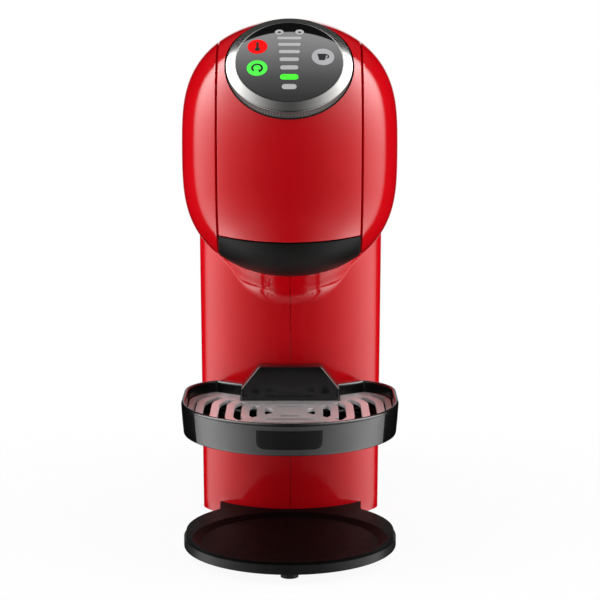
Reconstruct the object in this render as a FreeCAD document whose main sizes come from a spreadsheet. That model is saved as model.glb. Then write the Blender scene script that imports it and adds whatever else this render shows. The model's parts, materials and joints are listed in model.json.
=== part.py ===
"""Pod coffee machine: separate sub-parts in millimetres, front towards -Y, standing on Z = 0."""
import FreeCAD, Part
import math
import operator
import os
import Sketcher
from types import SimpleNamespace

Vector = FreeCAD.Vector
Rotation = FreeCAD.Rotation
Placement = FreeCAD.Placement

# Driving dimensions: name, millimetres or degrees, what it measures
DIMENSIONS = [
    ("foot_height", 5.0, "rubber foot below the base"),
    ("foot_radius", 4.5, "rubber foot"),
    ("foot_side_x", 38.0, "side feet from the middle"),
    ("foot_edge", 9.2, "front and rear feet in from the edge of the base"),
    ("base_radius", 55.0, "round front of the base"),
    ("cup_axis_y", -81.5, "centre of the round front of the base"),
    ("base_half", 45.5, "half width of the base inside the column and below the tank"),
    ("base_neck_half", 38.0, "half width of the base between its round front and the column"),
    ("base_step_y", -13.6, "where the base widens inside the column"),
    ("foot_rear_inset", 5.0, "rear feet further in from the rear corners"),
    ("base_back_y", 133.0, "rear edge of the base"),
    ("base_corner", 20.0, "rear corners of the base"),
    ("chassis_height", 4.6, "lower base plate"),
    ("deck_height", 2.9, "upper base plate"),
    ("deck_step", 1.2, "upper base plate inside the lower one"),
    ("dish_radius", 45.0, "flat floor of the round cup dish in the upper base plate"),
    ("dish_slope", 5.0, "sloping border of the dish"),
    ("dish_forward", 17.4, "dish centre in front of the base centre"),
    ("dish_depth", 1.6, "dish below the upper base plate"),
    ("column_half", 50.2, "half width of the column at the middle of the head"),
    ("column_foot_half", 48.4, "half width of the column at its lower edge"),
    ("skirt_gap", 0.6, "column's lower edge above the lower base plate's underside"),
    ("base_gap", 0.3, "column beside the base"),
    ("column_arc", 54.8, "radius of the bowed column front"),
    ("column_front_y", -43.4, "foremost line of the column"),
    ("body_back_y", 38.0, "rear edge of the side shells"),
    ("rear_cover", 2.5, "thickness of the rear cover"),
    ("wall", 2.5, "shell thickness"),
    ("pod_half_width", 54.6, "head, half width"),
    ("pod_half_height", 65.0, "head, half height"),
    ("pod_depth", 56.0, "head, depth of the rounded front"),
    ("pod_centre_z", 209.0, "head, middle height"),
    ("pod_start_y", -68.0, "head, where the rounded front begins"),
    ("pod_flat", 0.108, "share of the head's profile left on its flat sides"),
    ("pod_power", 2.5, "roundness of the head's side profile"),
    ("pod_square", 0.74, "fullness of the head's front outline, below one is fuller"),
    ("neck_top_radius", 32.5, "throat below the head, upper end"),
    ("neck_top_y", -30.0, "throat, centre of the upper end"),
    ("neck_drop", 32.0, "throat, height"),
    ("neck_foot_radius", 18.5, "throat, lower end"),
    ("neck_foot_y", -8.0, "throat, centre of the lower end"),
    ("neck_sink", 1.5, "throat's upper end inside the head"),
    ("seam_half", 36.0, "seam beside the handle, from the middle"),
    ("seam_gap", 0.3, "half of the open seam"),
    ("centre_gap", 0.2, "open seam between the two side shells"),
    ("handle_drop", 42.5, "handle's lower edge below the middle of the head"),
    ("handle_back_y", 20.0, "handle's rear edge"),
    ("edge_gap", 0.5, "gap at the handle's and the holder's edges"),
    ("holder_back_gap", 1.0, "gap behind the capsule holder"),
    ("hinge_y", 26.0, "handle hinge axis"),
    ("hinge_z", 252.5, "handle hinge axis"),
    ("hinge_pocket", 4.0, "rear cover's upper edge above the hinge axis"),
    ("hinge_pin_radius", 2.5, "handle hinge pin"),
    ("hinge_boss", 7.0, "round ends of the handle's arms"),
    ("running_gap", 0.05, "radial clearance of a turning or sliding fit"),
    ("hinge_block_half", 22.0, "fixed hinge block, half width"),
    ("hinge_block_drop", 14.0, "fixed hinge block below the axis"),
    ("hinge_block_rise", 5.0, "fixed hinge block above the axis"),
    ("hinge_block_front", 5.0, "fixed hinge block before the axis"),
    ("arm_inner_x", 23.0, "handle arm, inner side"),
    ("arm_thickness", 6.0, "handle arm"),
    ("arm_front_y", -58.0, "handle arm, front end"),
    ("arm_low", 12.0, "handle arm's lower edge below the hinge axis"),
    ("dial_forward", 31.8, "dial centre before the start of the rounded front"),
    ("dial_rise", 39.5, "dial centre above the middle of the head"),
    ("dial_tilt", 45.0, "dial face from the horizontal"),
    ("facet_thickness", 3.0, "flat seat of the dial in the handle"),
    ("dial_gasket", 0.8, "thickness of the gasket under the ring"),
    ("gasket_lip", 0.8, "gasket outside the ring"),
    ("ring_radius", 31.0, "selector ring, outer radius"),
    ("ring_bore", 26.0, "selector ring, inner radius"),
    ("ring_side", 5.4, "selector ring, height of its side"),
    ("ring_crown", 1.8, "selector ring, rise of its sloping face"),
    ("ring_land", 0.8, "selector ring, flat inner lip"),
    ("lens_height", 1.6, "display lens at its edge"),
    ("lens_dome", 0.6, "display lens, rise in the middle"),
    ("housing_depth", 10.0, "display housing below its seat"),
    ("housing_wall", 2.2, "display housing wall"),
    ("board_thickness", 1.6, "circuit boards"),
    ("frame_inner_x", 32.5, "side frames, inner side"),
    ("frame_thickness", 2.0, "side frames"),
    ("frame_front_y", -82.0, "side frames, front end"),
    ("frame_column_y", -16.0, "side frames, front edge in the column"),
    ("frame_top_z", 238.0, "side frames, upper edge in the head"),
    ("frame_nose_z", 212.0, "side frames, upper edge at the front"),
    ("frame_slope_y", -62.0, "side frames, where the front slope ends"),
    ("frame_ear", 3.0, "side frames, hinge ear before the axis"),
    ("frame_foot", 12.0, "side frames, width of the foot flange"),
    ("frame_foot_length", 22.0, "side frames, length of the foot flange"),
    ("frame_foot_height", 6.0, "side frames, height of the foot flange"),
    ("frame_foot_y", 0.0, "side frames, front of the foot flange"),
    ("rail_width", 3.0, "holder rails"),
    ("rail_height", 3.0, "holder rails"),
    ("rail_drop", 8.8, "holder rails' underside below the handle's lower edge"),
    ("holder_inset", 0.4, "capsule holder inside the outline of the head"),
    ("holder_side_gap", 0.9, "capsule holder beside the seam"),
    ("holder_back_y", -46.0, "capsule holder, rear end"),
    ("holder_nose_y", -84.0, "capsule holder, where its full-width front ends"),
    ("runner_height", 2.5, "capsule holder's runners"),
    ("runner_gap", 0.4, "runners above and beside their rails"),
    ("capsule_y", -74.0, "capsule axis"),
    ("seat_top_radius", 24.0, "capsule seat, upper outside"),
    ("seat_foot_radius", 15.0, "capsule seat, lower outside"),
    ("seat_wall", 1.5, "capsule seat"),
    ("seat_floor", 5.0, "holder below the capsule seat"),
    ("outlet_radius", 7.0, "coffee outlet"),
    ("capsule_stand", 24.5, "injection plate above the holder"),
    ("plate_radius", 26.0, "injection plate"),
    ("plate_height", 8.5, "injection plate"),
    ("carrier_height", 6.0, "carrier of the injection plate"),
    ("carrier_back_y", -48.0, "carrier, rear edge"),
    ("carrier_half", 26.0, "carrier, half width"),
    ("needle_radius", 1.8, "piercing needle"),
    ("needle_length", 6.5, "piercing needle below the plate"),
    ("needle_tip", 0.3, "piercing needle's tip"),
    ("seal_radius", 24.0, "injection seal, outer radius"),
    ("seal_width", 3.0, "injection seal"),
    ("seal_height", 1.5, "injection seal"),
    ("rod_x", 20.0, "guide rods from the middle"),
    ("rod_y", -55.0, "guide rods"),
    ("rod_radius", 2.5, "guide rods"),
    ("rod_below", 8.0, "guide rods below the carrier"),
    ("bridge_front_y", -64.0, "cross member between the side frames"),
    ("bridge_back_y", -42.0, "cross member between the side frames"),
    ("bridge_rise", 21.0, "cross member above the carrier"),
    ("bridge_height", 4.0, "cross member"),
    ("tray_half", 56.0, "drip tray, half width and front radius"),
    ("tray_axis_y", -79.0, "drip tray, centre of its round front"),
    ("tray_back_y", -25.5, "drip tray, rear edge"),
    ("tray_corner", 28.0, "drip tray, rear corners"),
    ("tray_low_z", 64.0, "drip tray, underside"),
    ("tray_height", 16.5, "drip tray"),
    ("tray_wall", 2.2, "drip tray wall and floor"),
    ("tray_gap", 0.6, "drip tray before the column"),
    ("bracket_front_y", -53.4, "tray bracket, front face"),
    ("bracket_foot_half", 26.0, "tray bracket, half width at the tray"),
    ("bracket_top_half", 16.5, "tray bracket, half width at its top"),
    ("bracket_rise", 12.0, "tray bracket above the tray's rim"),
    ("magnet_radius", 4.5, "tray magnets"),
    ("magnet_length", 4.0, "tray magnets"),
    ("magnet_x", 8.0, "tray magnets from the middle"),
    ("magnet_rise", 5.5, "tray magnets above the tray's rim"),
    ("keeper_half", 14.0, "steel keeper in the column, half width"),
    ("keeper_thickness", 1.2, "steel keeper"),
    ("keeper_low_z", 24.0, "steel keeper, lower end"),
    ("keeper_height", 84.0, "steel keeper"),
    ("band_half", 47.5, "grey band on the tray, half width"),
    ("band_thickness", 1.0, "grey band"),
    ("band_margin", 0.8, "grey band inside the tray's edges"),
    ("badge_half", 16.3, "blank badge plate, half width"),
    ("badge_height", 9.0, "blank badge plate"),
    ("badge_low", 3.6, "blank badge plate above the tray's underside"),
    ("badge_thickness", 0.8, "blank badge plate"),
    ("badge_proud", 0.4, "blank badge plate before the band"),
    ("grid_drop", 6.0, "drip grid below the tray's rim"),
    ("grid_thickness", 2.0, "drip grid"),
    ("grid_gap", 0.7, "drip grid inside the tray"),
    ("slot_width", 4.0, "slots of the drip grid"),
    ("slot_pitch", 8.0, "slots of the drip grid, one to the next"),
    ("slot_core", 9.0, "half size of the middle plate of the drip grid"),
    ("slot_bridge", 6.0, "bridges across the slots"),
    ("slot_margin", 3.0, "rim of the drip grid outside the slots"),
    ("rest_width", 3.0, "rests below the drip grid"),
    ("rest_length", 14.0, "rests below the drip grid"),
    ("rest_x", 40.0, "rests below the drip grid, from the middle"),
    ("tank_half", 50.0, "water tank, half width"),
    ("tank_front_y", 42.5, "water tank, front"),
    ("tank_back_y", 136.5, "water tank, rear"),
    ("tank_corner", 34.0, "water tank, rear corners"),
    ("tank_wall", 2.4, "water tank"),
    ("tank_low_z", 28.4, "water tank, underside"),
    ("tank_top_z", 238.0, "water tank, upper edge"),
    ("shelf_gap", 0.4, "tank shelf below and inside the tank"),
    ("shelf_wall", 3.0, "tank shelf"),
    ("shelf_front_gap", 0.5, "tank shelf behind the rear cover"),
    ("lid_height", 7.5, "tank lid"),
    ("lid_gap", 0.4, "gaps round the tank lid"),
    ("lid_front_inset", 0.5, "tank lid behind the tank's front"),
    ("lid_axis_y", 118.0, "tank lid hinge axis"),
    ("lid_pin_radius", 1.5, "tank lid hinge pin"),
    ("lid_ear_x", 22.0, "lid hinge ears from the middle"),
    ("lid_ear_width", 5.0, "lid hinge ears"),
    ("valve_y", 72.0, "tank valve axis"),
    ("valve_radius", 9.0, "tank valve body"),
    ("valve_bore", 5.4, "tank valve body, inside"),
    ("valve_drop", 6.0, "tank valve body below the tank"),
    ("valve_rise", 14.0, "tank valve body above the tank's floor"),
    ("valve_floor", 2.0, "tank valve body, floor and cap"),
    ("valve_mouth", 3.4, "tank valve, lower opening"),
    ("plunger_head", 4.9, "valve plunger, head radius"),
    ("plunger_height", 3.0, "valve plunger, head height"),
    ("plunger_stem", 1.6, "valve plunger, stem radius"),
    ("spring_wire", 0.4, "valve spring, wire radius"),
    ("spring_radius", 3.2, "valve spring, mean radius"),
    ("spring_turns", 4.0, "valve spring, turns"),
    ("socket_radius", 11.0, "valve socket in the tank shelf"),
    ("spigot_bore", 1.4, "water inlet spigot, bore"),
    ("spigot_gap", 0.6, "spigot below the valve"),
    ("spigot_radius", 5.25, "water inlet spigot"),
    ("spigot_flange", 12.5, "water inlet spigot, flange radius"),
    ("spigot_flange_height", 2.0, "water inlet spigot, flange height"),
    ("hose_radius", 3.5, "hoses"),
    ("hose_bore", 2.0, "hoses, bore"),
    ("supply_z", 17.5, "supply hose, height"),
    ("meter_radius", 11.0, "flow meter"),
    ("meter_height", 14.0, "flow meter"),
    ("meter_lift", 1.5, "flow meter above the upper base plate"),
    ("pump_y", 8.0, "pump axis"),
    ("pump_radius", 15.0, "pump body"),
    ("pump_lift", 9.0, "pump above the flow meter"),
    ("pump_length", 96.0, "pump body"),
    ("coil_half", 22.0, "pump coil, half width"),
    ("coil_low", 28.0, "pump coil above the pump's lower end"),
    ("coil_height", 42.0, "pump coil"),
    ("mount_height", 8.0, "pump mounts"),
    ("mount_half", 32.5, "pump mounts, half width"),
    ("mount_depth", 40.0, "pump mounts, depth"),
    ("mount_margin", 6.0, "pump mounts from the pump's ends"),
    ("boiler_half", 27.0, "heater block, half width"),
    ("boiler_front_y", -28.0, "heater block, front"),
    ("boiler_back_y", 16.0, "heater block, rear"),
    ("boiler_low_z", 172.0, "heater block, underside"),
    ("boiler_height", 46.0, "heater block"),
    ("element_radius", 4.0, "heating element"),
    ("element_overhang", 5.0, "heating element beside the block"),
    ("brew_z", 209.0, "brew hose, height of its upper run"),
    ("brew_bend", 7.0, "brew hose, bend radius"),
    ("board_gap", 4.0, "main board beside the frame"),
    ("board_low_z", 40.0, "main board, lower edge"),
    ("board_height", 96.0, "main board"),
    ("board_front_y", -4.0, "main board, front edge"),
    ("board_depth", 36.0, "main board"),
    ("spacer_radius", 2.5, "main board spacers"),
    ("spacer_edge", 6.0, "main board spacers in from its edges"),
    ("screw_radius", 1.6, "screw shanks"),
    ("screw_head", 3.2, "screw heads"),
    ("screw_head_height", 2.0, "screw heads"),
    ("screw_length", 12.0, "screw shanks"),
    ("rear_screw_x", 13.2, "rear screws from the middle"),
    ("rear_screw_drop", 8.4, "rear screws below the hinge axis"),
    ("gland_x", -17.0, "cord gland from the middle"),
    ("button_x", 17.0, "power button from the middle"),
    ("service_z", 17.4, "cord gland and power button, height"),
    ("gland_radius", 6.0, "cord gland in its wall"),
    ("gland_flange", 7.5, "cord gland's flange"),
    ("gland_flange_height", 2.2, "cord gland's flange"),
    ("gland_bore", 3.5, "cord gland's bore"),
    ("gland_length", 14.0, "cord gland"),
    ("button_radius", 5.6, "power button"),
    ("button_gap", 0.4, "power button in its hole"),
    ("button_proud", 2.4, "power button outside its wall"),
    ("button_collar", 6.9, "power button's collar"),
    ("button_collar_height", 1.6, "power button's collar"),
    ("button_travel_gap", 0.3, "power button's collar behind its wall"),
]

doc = FreeCAD.newDocument("PodCoffeeMachine")
sheet = doc.addObject("Spreadsheet::Sheet", "Sizes")
for row, (name, number, meaning) in enumerate(DIMENSIONS, start=1):
    sheet.set(f"A{row}", name)
    sheet.set(f"B{row}", str(number))
    sheet.setAlias(f"B{row}", name)
    sheet.set(f"C{row}", meaning)
doc.recompute()

OPERATIONS = {"+": operator.add, "-": operator.sub, "*": operator.mul, "/": operator.truediv}


class Size:
    """A size worked out from the sheet: its number, and the expression that binds an object to it."""

    def __init__(self, number, text):
        self.number = number
        self.text = text

    def __float__(self):
        return self.number

    def __add__(self, other):
        return joined(self, "+", other)

    def __radd__(self, other):
        return joined(other, "+", self)

    def __sub__(self, other):
        return joined(self, "-", other)

    def __rsub__(self, other):
        return joined(other, "-", self)

    def __mul__(self, other):
        return joined(self, "*", other)

    def __rmul__(self, other):
        return joined(other, "*", self)

    def __truediv__(self, other):
        return joined(self, "/", other)

    def __neg__(self):
        return joined(0, "-", self)


def as_size(value):
    return value if isinstance(value, Size) else Size(float(value), repr(float(value)))


def joined(left, mark, right):
    left = as_size(left)
    right = as_size(right)
    return Size(OPERATIONS[mark](left.number, right.number), f"({left.text} {mark} {right.text})")


dim = SimpleNamespace(**{name: Size(float(sheet.get(name)), f"Sizes.{name}") for name, _, _ in DIMENSIONS})
subparts = {}

UPRIGHT = Rotation()
ALONG_X = Rotation(Vector(0, 1, 0), 90)
ALONG_Y = Rotation(Vector(1, 0, 0), -90)
DIAL_TURN = Rotation(Vector(1, 0, 0), float(dim.dial_tilt))

# Levels and places shared by several sub-parts
chassis_top = dim.foot_height + dim.chassis_height
deck_top = chassis_top + dim.deck_height
pod_bottom = dim.pod_centre_z - dim.pod_half_height
neck_top = pod_bottom - dim.seam_gap
handle_low = dim.pod_centre_z - dim.handle_drop
holder_top = handle_low - dim.edge_gap
lane = dim.seam_half + dim.seam_gap
handle_half = dim.seam_half - dim.seam_gap
holder_half = lane - dim.holder_side_gap
pocket_z = dim.hinge_z + dim.hinge_pocket
dial_place = (0, dim.pod_start_y - dim.dial_forward, dim.pod_centre_z + dim.dial_rise)
plate_low = holder_top + dim.capsule_stand
carrier_low = plate_low + dim.plate_height
carrier_top = carrier_low + dim.carrier_height
bridge_low = carrier_top + dim.bridge_rise
tray_rim = dim.tray_low_z + dim.tray_height
grid_top = tray_rim - dim.grid_drop
rear_face = dim.body_back_y + dim.rear_cover
shelf_front = rear_face + dim.shelf_front_gap
shelf_top = dim.tank_low_z - dim.shelf_gap
shelf_half = dim.base_half
lid_low = dim.tank_top_z + dim.lid_gap
lid_axis_z = lid_low + dim.lid_height / 2
meter_low = deck_top + dim.meter_lift
meter_top = meter_low + dim.meter_height
pump_low = meter_top + dim.pump_lift
pump_top = pump_low + dim.pump_length
boiler_top = dim.boiler_low_z + dim.boiler_height
ring_low = dim.dial_gasket
ring_shoulder = ring_low + dim.ring_side
ring_top = ring_shoulder + dim.ring_crown
housing_radius = dim.ring_bore - dim.running_gap
lens_low = ring_top - dim.lens_height
column_axis_y = dim.column_front_y + dim.column_arc
skirt_low = dim.foot_height + dim.skirt_gap
tray_room = dim.column_arc + dim.tray_gap


# Helpers for primitives and booleans

def bind(item, path, value):
    item.setExpression(path, as_size(value).text)


def place(item, spot, turn=UPRIGHT):
    item.Placement = Placement(Vector(*[float(value) for value in spot]), turn)
    for axis, value in zip("xyz", spot):
        if isinstance(value, Size):
            bind(item, f"Placement.Base.{axis}", value)
    return item


def box(x_span, y_span, z_span, name="Block"):
    item = doc.addObject("Part::Box", name)
    for prop, (low, high) in zip(("Length", "Width", "Height"), (x_span, y_span, z_span)):
        bind(item, prop, as_size(high) - low)
    return place(item, (x_span[0], y_span[0], z_span[0]))


def cylinder(radius, height, spot, turn=UPRIGHT, name="Round"):
    item = doc.addObject("Part::Cylinder", name)
    bind(item, "Radius", radius)
    bind(item, "Height", height)
    return place(item, spot, turn)


def cone(low_radius, high_radius, height, spot, name="Taper"):
    item = doc.addObject("Part::Cone", name)
    bind(item, "Radius1", low_radius)
    bind(item, "Radius2", high_radius)
    bind(item, "Height", height)
    return place(item, spot)


def fuse(items, name="Joined"):
    if len(items) == 1:
        return items[0]
    item = doc.addObject("Part::MultiFuse", name)
    item.Shapes = items
    return item


def cut(base, tools, name="Trimmed"):
    item = doc.addObject("Part::Cut", name)
    item.Base = base
    item.Tool = fuse(tools)
    return item


def common(first, second, name="Shared"):
    item = doc.addObject("Part::Common", name)
    item.Base = first
    item.Tool = second
    return item


def group(items, name="Group"):
    item = doc.addObject("Part::Compound", name)
    item.Links = items
    return item


def subpart(label, item):
    item.Label = label
    subparts[label] = item
    return item


def tube(radius, bore, height, spot, turn=UPRIGHT):
    return cut(cylinder(radius, height, spot, turn), [cylinder(bore, height, spot, turn)])


# Helpers for bodies made from sketches

def body(name):
    return doc.addObject("PartDesign::Body", name)


def sketch(owner, plane, offset=0):
    item = owner.newObject("Sketcher::SketchObject", "Outline")
    support = [feature for feature in owner.Origin.OriginFeatures if feature.Role == plane][0]
    item.AttachmentSupport = [(support, "")]
    item.MapMode = "FlatFace"
    bind(item, "AttachmentOffset.Base.z", offset)
    return item


def pin_point(item, geometry, point, x, y):
    """Hold one point of a sketch at bound coordinates."""
    for kind, axis, value in (("DistanceX", -2, as_size(x)), ("DistanceY", -1, as_size(y))):
        if value.number == 0:
            item.addConstraint(Sketcher.Constraint("PointOnObject", geometry, point, axis))
        else:
            number = item.addConstraint(Sketcher.Constraint(kind, -1, 1, geometry, point, value.number))
            bind(item, f"Constraints[{number}]", value)


def hold_radius(item, geometry, radius):
    number = item.addConstraint(Sketcher.Constraint("Radius", geometry, float(radius)))
    bind(item, f"Constraints[{number}]", radius)


def flat(x, y):
    return Vector(float(x), float(y), 0)


def polygon(item, points):
    """A closed outline of straight sides whose corners are all bound."""
    first = item.GeometryCount
    count = len(points)
    for index, start in enumerate(points):
        end = points[(index + 1) % count]
        item.addGeometry(Part.LineSegment(flat(*start), flat(*end)), False)
    for index in range(count):
        after = first + (index + 1) % count
        item.addConstraint(Sketcher.Constraint("Coincident", first + index, 2, after, 1))
    for index, (x, y) in enumerate(points):
        pin_point(item, first + index, 1, x, y)


def arc(x, y, radius, start, end):
    ring = Part.Circle(flat(x, y), Vector(0, 0, 1), float(radius))
    return Part.ArcOfCircle(ring, math.radians(start), math.radians(end))


def back_corners(item, half, back, corner, front_edge):
    """Sides, round rear corners and straight rear of an outline whose front edge is drawn already."""
    sides = back - corner
    start_right = item.getPoint(front_edge, 2)
    start_left = item.getPoint(front_edge, 1)
    right = item.addGeometry(Part.LineSegment(start_right, flat(half, sides)), False)
    right_arc = item.addGeometry(arc(half - corner, sides, corner, 0, 90), False)
    rear = item.addGeometry(Part.LineSegment(flat(half - corner, back), flat(corner - half, back)), False)
    left_arc = item.addGeometry(arc(corner - half, sides, corner, 90, 180), False)
    left = item.addGeometry(Part.LineSegment(flat(-half, sides), start_left), False)
    item.addConstraint(Sketcher.Constraint("Coincident", front_edge, 2, right, 1))
    item.addConstraint(Sketcher.Constraint("Coincident", left, 2, front_edge, 1))
    for before, after in ((right, right_arc), (right_arc, rear), (rear, left_arc), (left_arc, left)):
        item.addConstraint(Sketcher.Constraint("Tangent", before, 2, after, 1))
    item.addConstraint(Sketcher.Constraint("Vertical", right))
    item.addConstraint(Sketcher.Constraint("Vertical", left))
    item.addConstraint(Sketcher.Constraint("Horizontal", rear))
    hold_radius(item, right_arc, corner)
    number = item.addConstraint(Sketcher.Constraint("DistanceY", -1, 1, rear, 1, float(back)))
    bind(item, f"Constraints[{number}]", back)


def square_front(item, half, front, back, corner):
    """Outline with a straight front and round rear corners."""
    edge = item.addGeometry(Part.LineSegment(flat(-half, front), flat(half, front)), False)
    pin_point(item, edge, 1, -half, front)
    pin_point(item, edge, 2, half, front)
    back_corners(item, half, back, corner, edge)


def round_front(item, half, axis, back, corner):
    """Outline with a half-round front and round rear corners."""
    edge = item.addGeometry(arc(0, axis, half, 180, 360), False)
    pin_point(item, edge, 3, 0, axis)
    pin_point(item, edge, 1, -half, axis)
    item.addConstraint(Sketcher.Constraint("Horizontal", edge, 1, edge, 2))
    back_corners(item, half, back, corner, edge)


def pad(owner, outline, length):
    item = owner.newObject("PartDesign::Pad", "Pad")
    item.Profile = outline
    bind(item, "Length", length)
    return item


def pocket(owner, outline, length):
    """Cut downwards from the outline's plane."""
    item = owner.newObject("PartDesign::Pocket", "Pocket")
    item.Profile = outline
    bind(item, "Length", length)
    return item


def turned(name, points):
    """A body of revolution about Z from a profile of radius and height."""
    owner = body(name)
    outline = sketch(owner, "XZ_Plane")
    polygon(outline, points)
    item = owner.newObject("PartDesign::Revolution", "Turned")
    item.Profile = outline
    item.ReferenceAxis = (outline, ["V_Axis"])
    item.Angle = 360
    return owner


def side_plate(name, points, inner, thickness):
    """A flat plate across X whose outline is given as Y and Z."""
    owner = body(name)
    outline = sketch(owner, "YZ_Plane", inner)
    polygon(outline, points)
    pad(owner, outline, thickness)
    return owner


# The head's rounded form, the column and the throat, as solids that shells are cut from

PROFILE_STEPS = 40
WIDTH_STEPS = 28
STRAIGHT_STEPS = 8
STRAIGHT_GROWTH = 1.6
FAR = 400.0
CORNER_SHARE = 0.62
WIRE_SIDES = 8


def power(value, exponent):
    return math.copysign(abs(value) ** exponent, value)


def pod_profile(height, depth, back):
    """Side profile of the head as Y and Z: straight underside, rounded front, straight top."""
    start = float(dim.pod_start_y)
    middle = float(dim.pod_centre_z)
    exponent = 2.0 / float(dim.pod_power)
    shares = [(step / STRAIGHT_STEPS) ** STRAIGHT_GROWTH for step in range(STRAIGHT_STEPS, 0, -1)]
    run = [start + (back - start) * share for share in shares]
    points = [(y, middle - height) for y in run]
    for step in range(PROFILE_STEPS + 1):
        angle = math.pi * (step / PROFILE_STEPS - 0.5)
        y = start - depth * power(math.cos(angle), exponent)
        points.append((y, middle + height * power(math.sin(angle), exponent)))
    return points + [(y, middle + height) for y in reversed(run)]


def pod_solid(inset, back):
    """The head as one solid, its walls set in by the inset, open straight to the given rear plane."""
    half = float(dim.pod_half_width) - inset
    full_height = float(dim.pod_half_height) - inset
    full_depth = float(dim.pod_depth) - inset
    flat_share = float(dim.pod_flat)
    rows = []
    for step in range(WIDTH_STEPS + 1):
        angle = math.pi * (step / WIDTH_STEPS - 0.5)
        swell = max(math.cos(angle), 0.0)
        height = full_height * (flat_share + (1 - flat_share) * swell ** float(dim.pod_square))
        depth = full_depth * (flat_share + (1 - flat_share) * swell)
        x = half * math.sin(angle)
        rows.append([Vector(x, y, z) for y, z in pod_profile(height, depth, back)])
    surface = Part.BSplineSurface()
    surface.interpolate(rows)
    skin = surface.toShape()
    left = Part.makeLine(rows[0][0], rows[0][-1])
    right = Part.makeLine(rows[-1][0], rows[-1][-1])
    sides = {}
    for edge in skin.Edges:
        centre = edge.BoundBox.Center
        if edge.BoundBox.XLength < half:
            sides["left" if centre.x < 0 else "right"] = edge
        else:
            sides["low" if centre.z < float(dim.pod_centre_z) else "high"] = edge
    faces = [skin]
    faces.append(Part.Face(Part.Wire([sides["left"], left])))
    faces.append(Part.Face(Part.Wire([sides["right"], right])))
    faces.append(Part.Face(Part.Wire([sides["low"], right, sides["high"], left])))
    shell = Part.makeShell(faces)
    shell.sewShape()
    solid = Part.makeSolid(shell)
    if solid.Volume < 0:
        solid.reverse()
    return solid


def column_solid(inset, low, back):
    """The column: bowed front, sides that lean in a little towards the foot, up into the head."""
    top = float(dim.pod_centre_z)
    high_half = float(dim.column_half) - inset
    foot_half = float(dim.column_foot_half) - inset
    lean = (high_half - foot_half) / (top - float(skirt_low))
    low_half = high_half - lean * (top - low)
    radius = float(dim.column_arc) - inset
    centre = float(column_axis_y)
    bow = Part.makeCylinder(radius, top - low, Vector(0, centre, low))
    rear = solid_box((-radius, radius), (centre, back), (low, top))
    front_y = centre - radius
    corners = [(-low_half, low), (low_half, low), (high_half, top), (-high_half, top), (-low_half, low)]
    face = Part.Face(Part.makePolygon([Vector(x, front_y, z) for x, z in corners]))
    return bow.fuse(rear).common(face.extrude(Vector(0, back - front_y, 0)))


def neck_solid(inset, top):
    """The throat: a slanting taper from the column's front up to a level near the head's underside."""
    foot_z = float(neck_top - dim.neck_drop)
    share = (top - foot_z) / float(dim.neck_drop)
    hoops = []
    for climb in (0, share):
        radius = dim.neck_foot_radius + (dim.neck_top_radius - dim.neck_foot_radius) * climb - inset
        y = dim.neck_foot_y + (dim.neck_top_y - dim.neck_foot_y) * climb
        spot = Vector(0, float(y), foot_z + climb * float(dim.neck_drop))
        hoops.append(Part.Wire([Part.Circle(spot, Vector(0, 0, 1), float(radius)).toShape()]))
    return Part.makeLoft(hoops, True, True)


def solid_box(x_span, y_span, z_span):
    low = Vector(float(x_span[0]), float(y_span[0]), float(z_span[0]))
    high = Vector(float(x_span[1]), float(y_span[1]), float(z_span[1]))
    sides = high - low
    return Part.makeBox(sides.x, sides.y, sides.z, low)


def dial_block(low, high):
    """Everything between two planes parallel to the dial's seat."""
    slab = Part.makeBox(FAR, FAR, high - low, Vector(-FAR / 2, -FAR / 2, low))
    slab.Placement = Placement(Vector(*[float(value) for value in dial_place]), DIAL_TURN)
    return slab


def shaped(label, shape):
    item = doc.addObject("Part::Feature", label)
    item.Shape = shape.removeSplitter()
    item.Placement = Placement()
    return subpart(label, item)


POD_OUTER = pod_solid(0, float(dim.body_back_y))
POD_INNER = pod_solid(float(dim.wall), float(rear_face))


def make_side_shells():
    wall = float(dim.wall)
    back = float(dim.body_back_y)
    throat = neck_solid(0, float(pod_bottom + dim.neck_sink))
    outer = POD_OUTER.fuse([column_solid(0, float(skirt_low), back), throat])
    column_inside = column_solid(wall, float(dim.foot_height), float(rear_face))
    inner = POD_INNER.fuse([column_inside, neck_solid(wall, float(neck_top - dim.wall))])
    holder_lane = solid_box((-lane, lane), (-FAR, dim.holder_back_y + dim.holder_back_gap), (neck_top, FAR))
    handle_lane = solid_box((-lane, lane), (-FAR, dim.handle_back_y + dim.edge_gap), (handle_low, FAR))
    hinge_lane = solid_box((-lane, lane), (dim.handle_back_y, rear_face), (pocket_z, FAR))
    disc_radius = float(dim.base_radius + dim.base_gap)
    disc_room = Part.makeCylinder(disc_radius, float(deck_top), Vector(0, float(dim.cup_axis_y), 0))
    neck_half = dim.base_neck_half + dim.base_gap
    neck_room = solid_box((-neck_half, neck_half), (dim.cup_axis_y, column_axis_y), (0, deck_top))
    skin = outer.cut([inner, holder_lane, handle_lane, hinge_lane, disc_room, neck_room])
    seam = dim.centre_gap / 2
    for label, x_span in (("left_shell", (-FAR, -seam)), ("right_shell", (seam, FAR))):
        shaped(label, skin.common(solid_box(x_span, (-FAR, FAR), (0, FAR))))


def make_rear_cover():
    back = float(rear_face)
    outer = pod_solid(0, back).fuse(column_solid(0, float(deck_top), back))
    slab = solid_box((-FAR, FAR), (dim.body_back_y, rear_face), (0, FAR))
    pocket_cut = solid_box((-lane, lane), (0, FAR), (pocket_z, FAR))
    hose = Part.makeCylinder(float(dim.hose_radius), FAR, Vector(0, 0, float(dim.supply_z)), Vector(0, 1, 0))
    screw_holes = [screw_solid(spot, Vector(0, -1, 0)) for spot in rear_screw_spots()]
    shaped("rear_cover", outer.common(slab).cut([pocket_cut, hose] + screw_holes))


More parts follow.
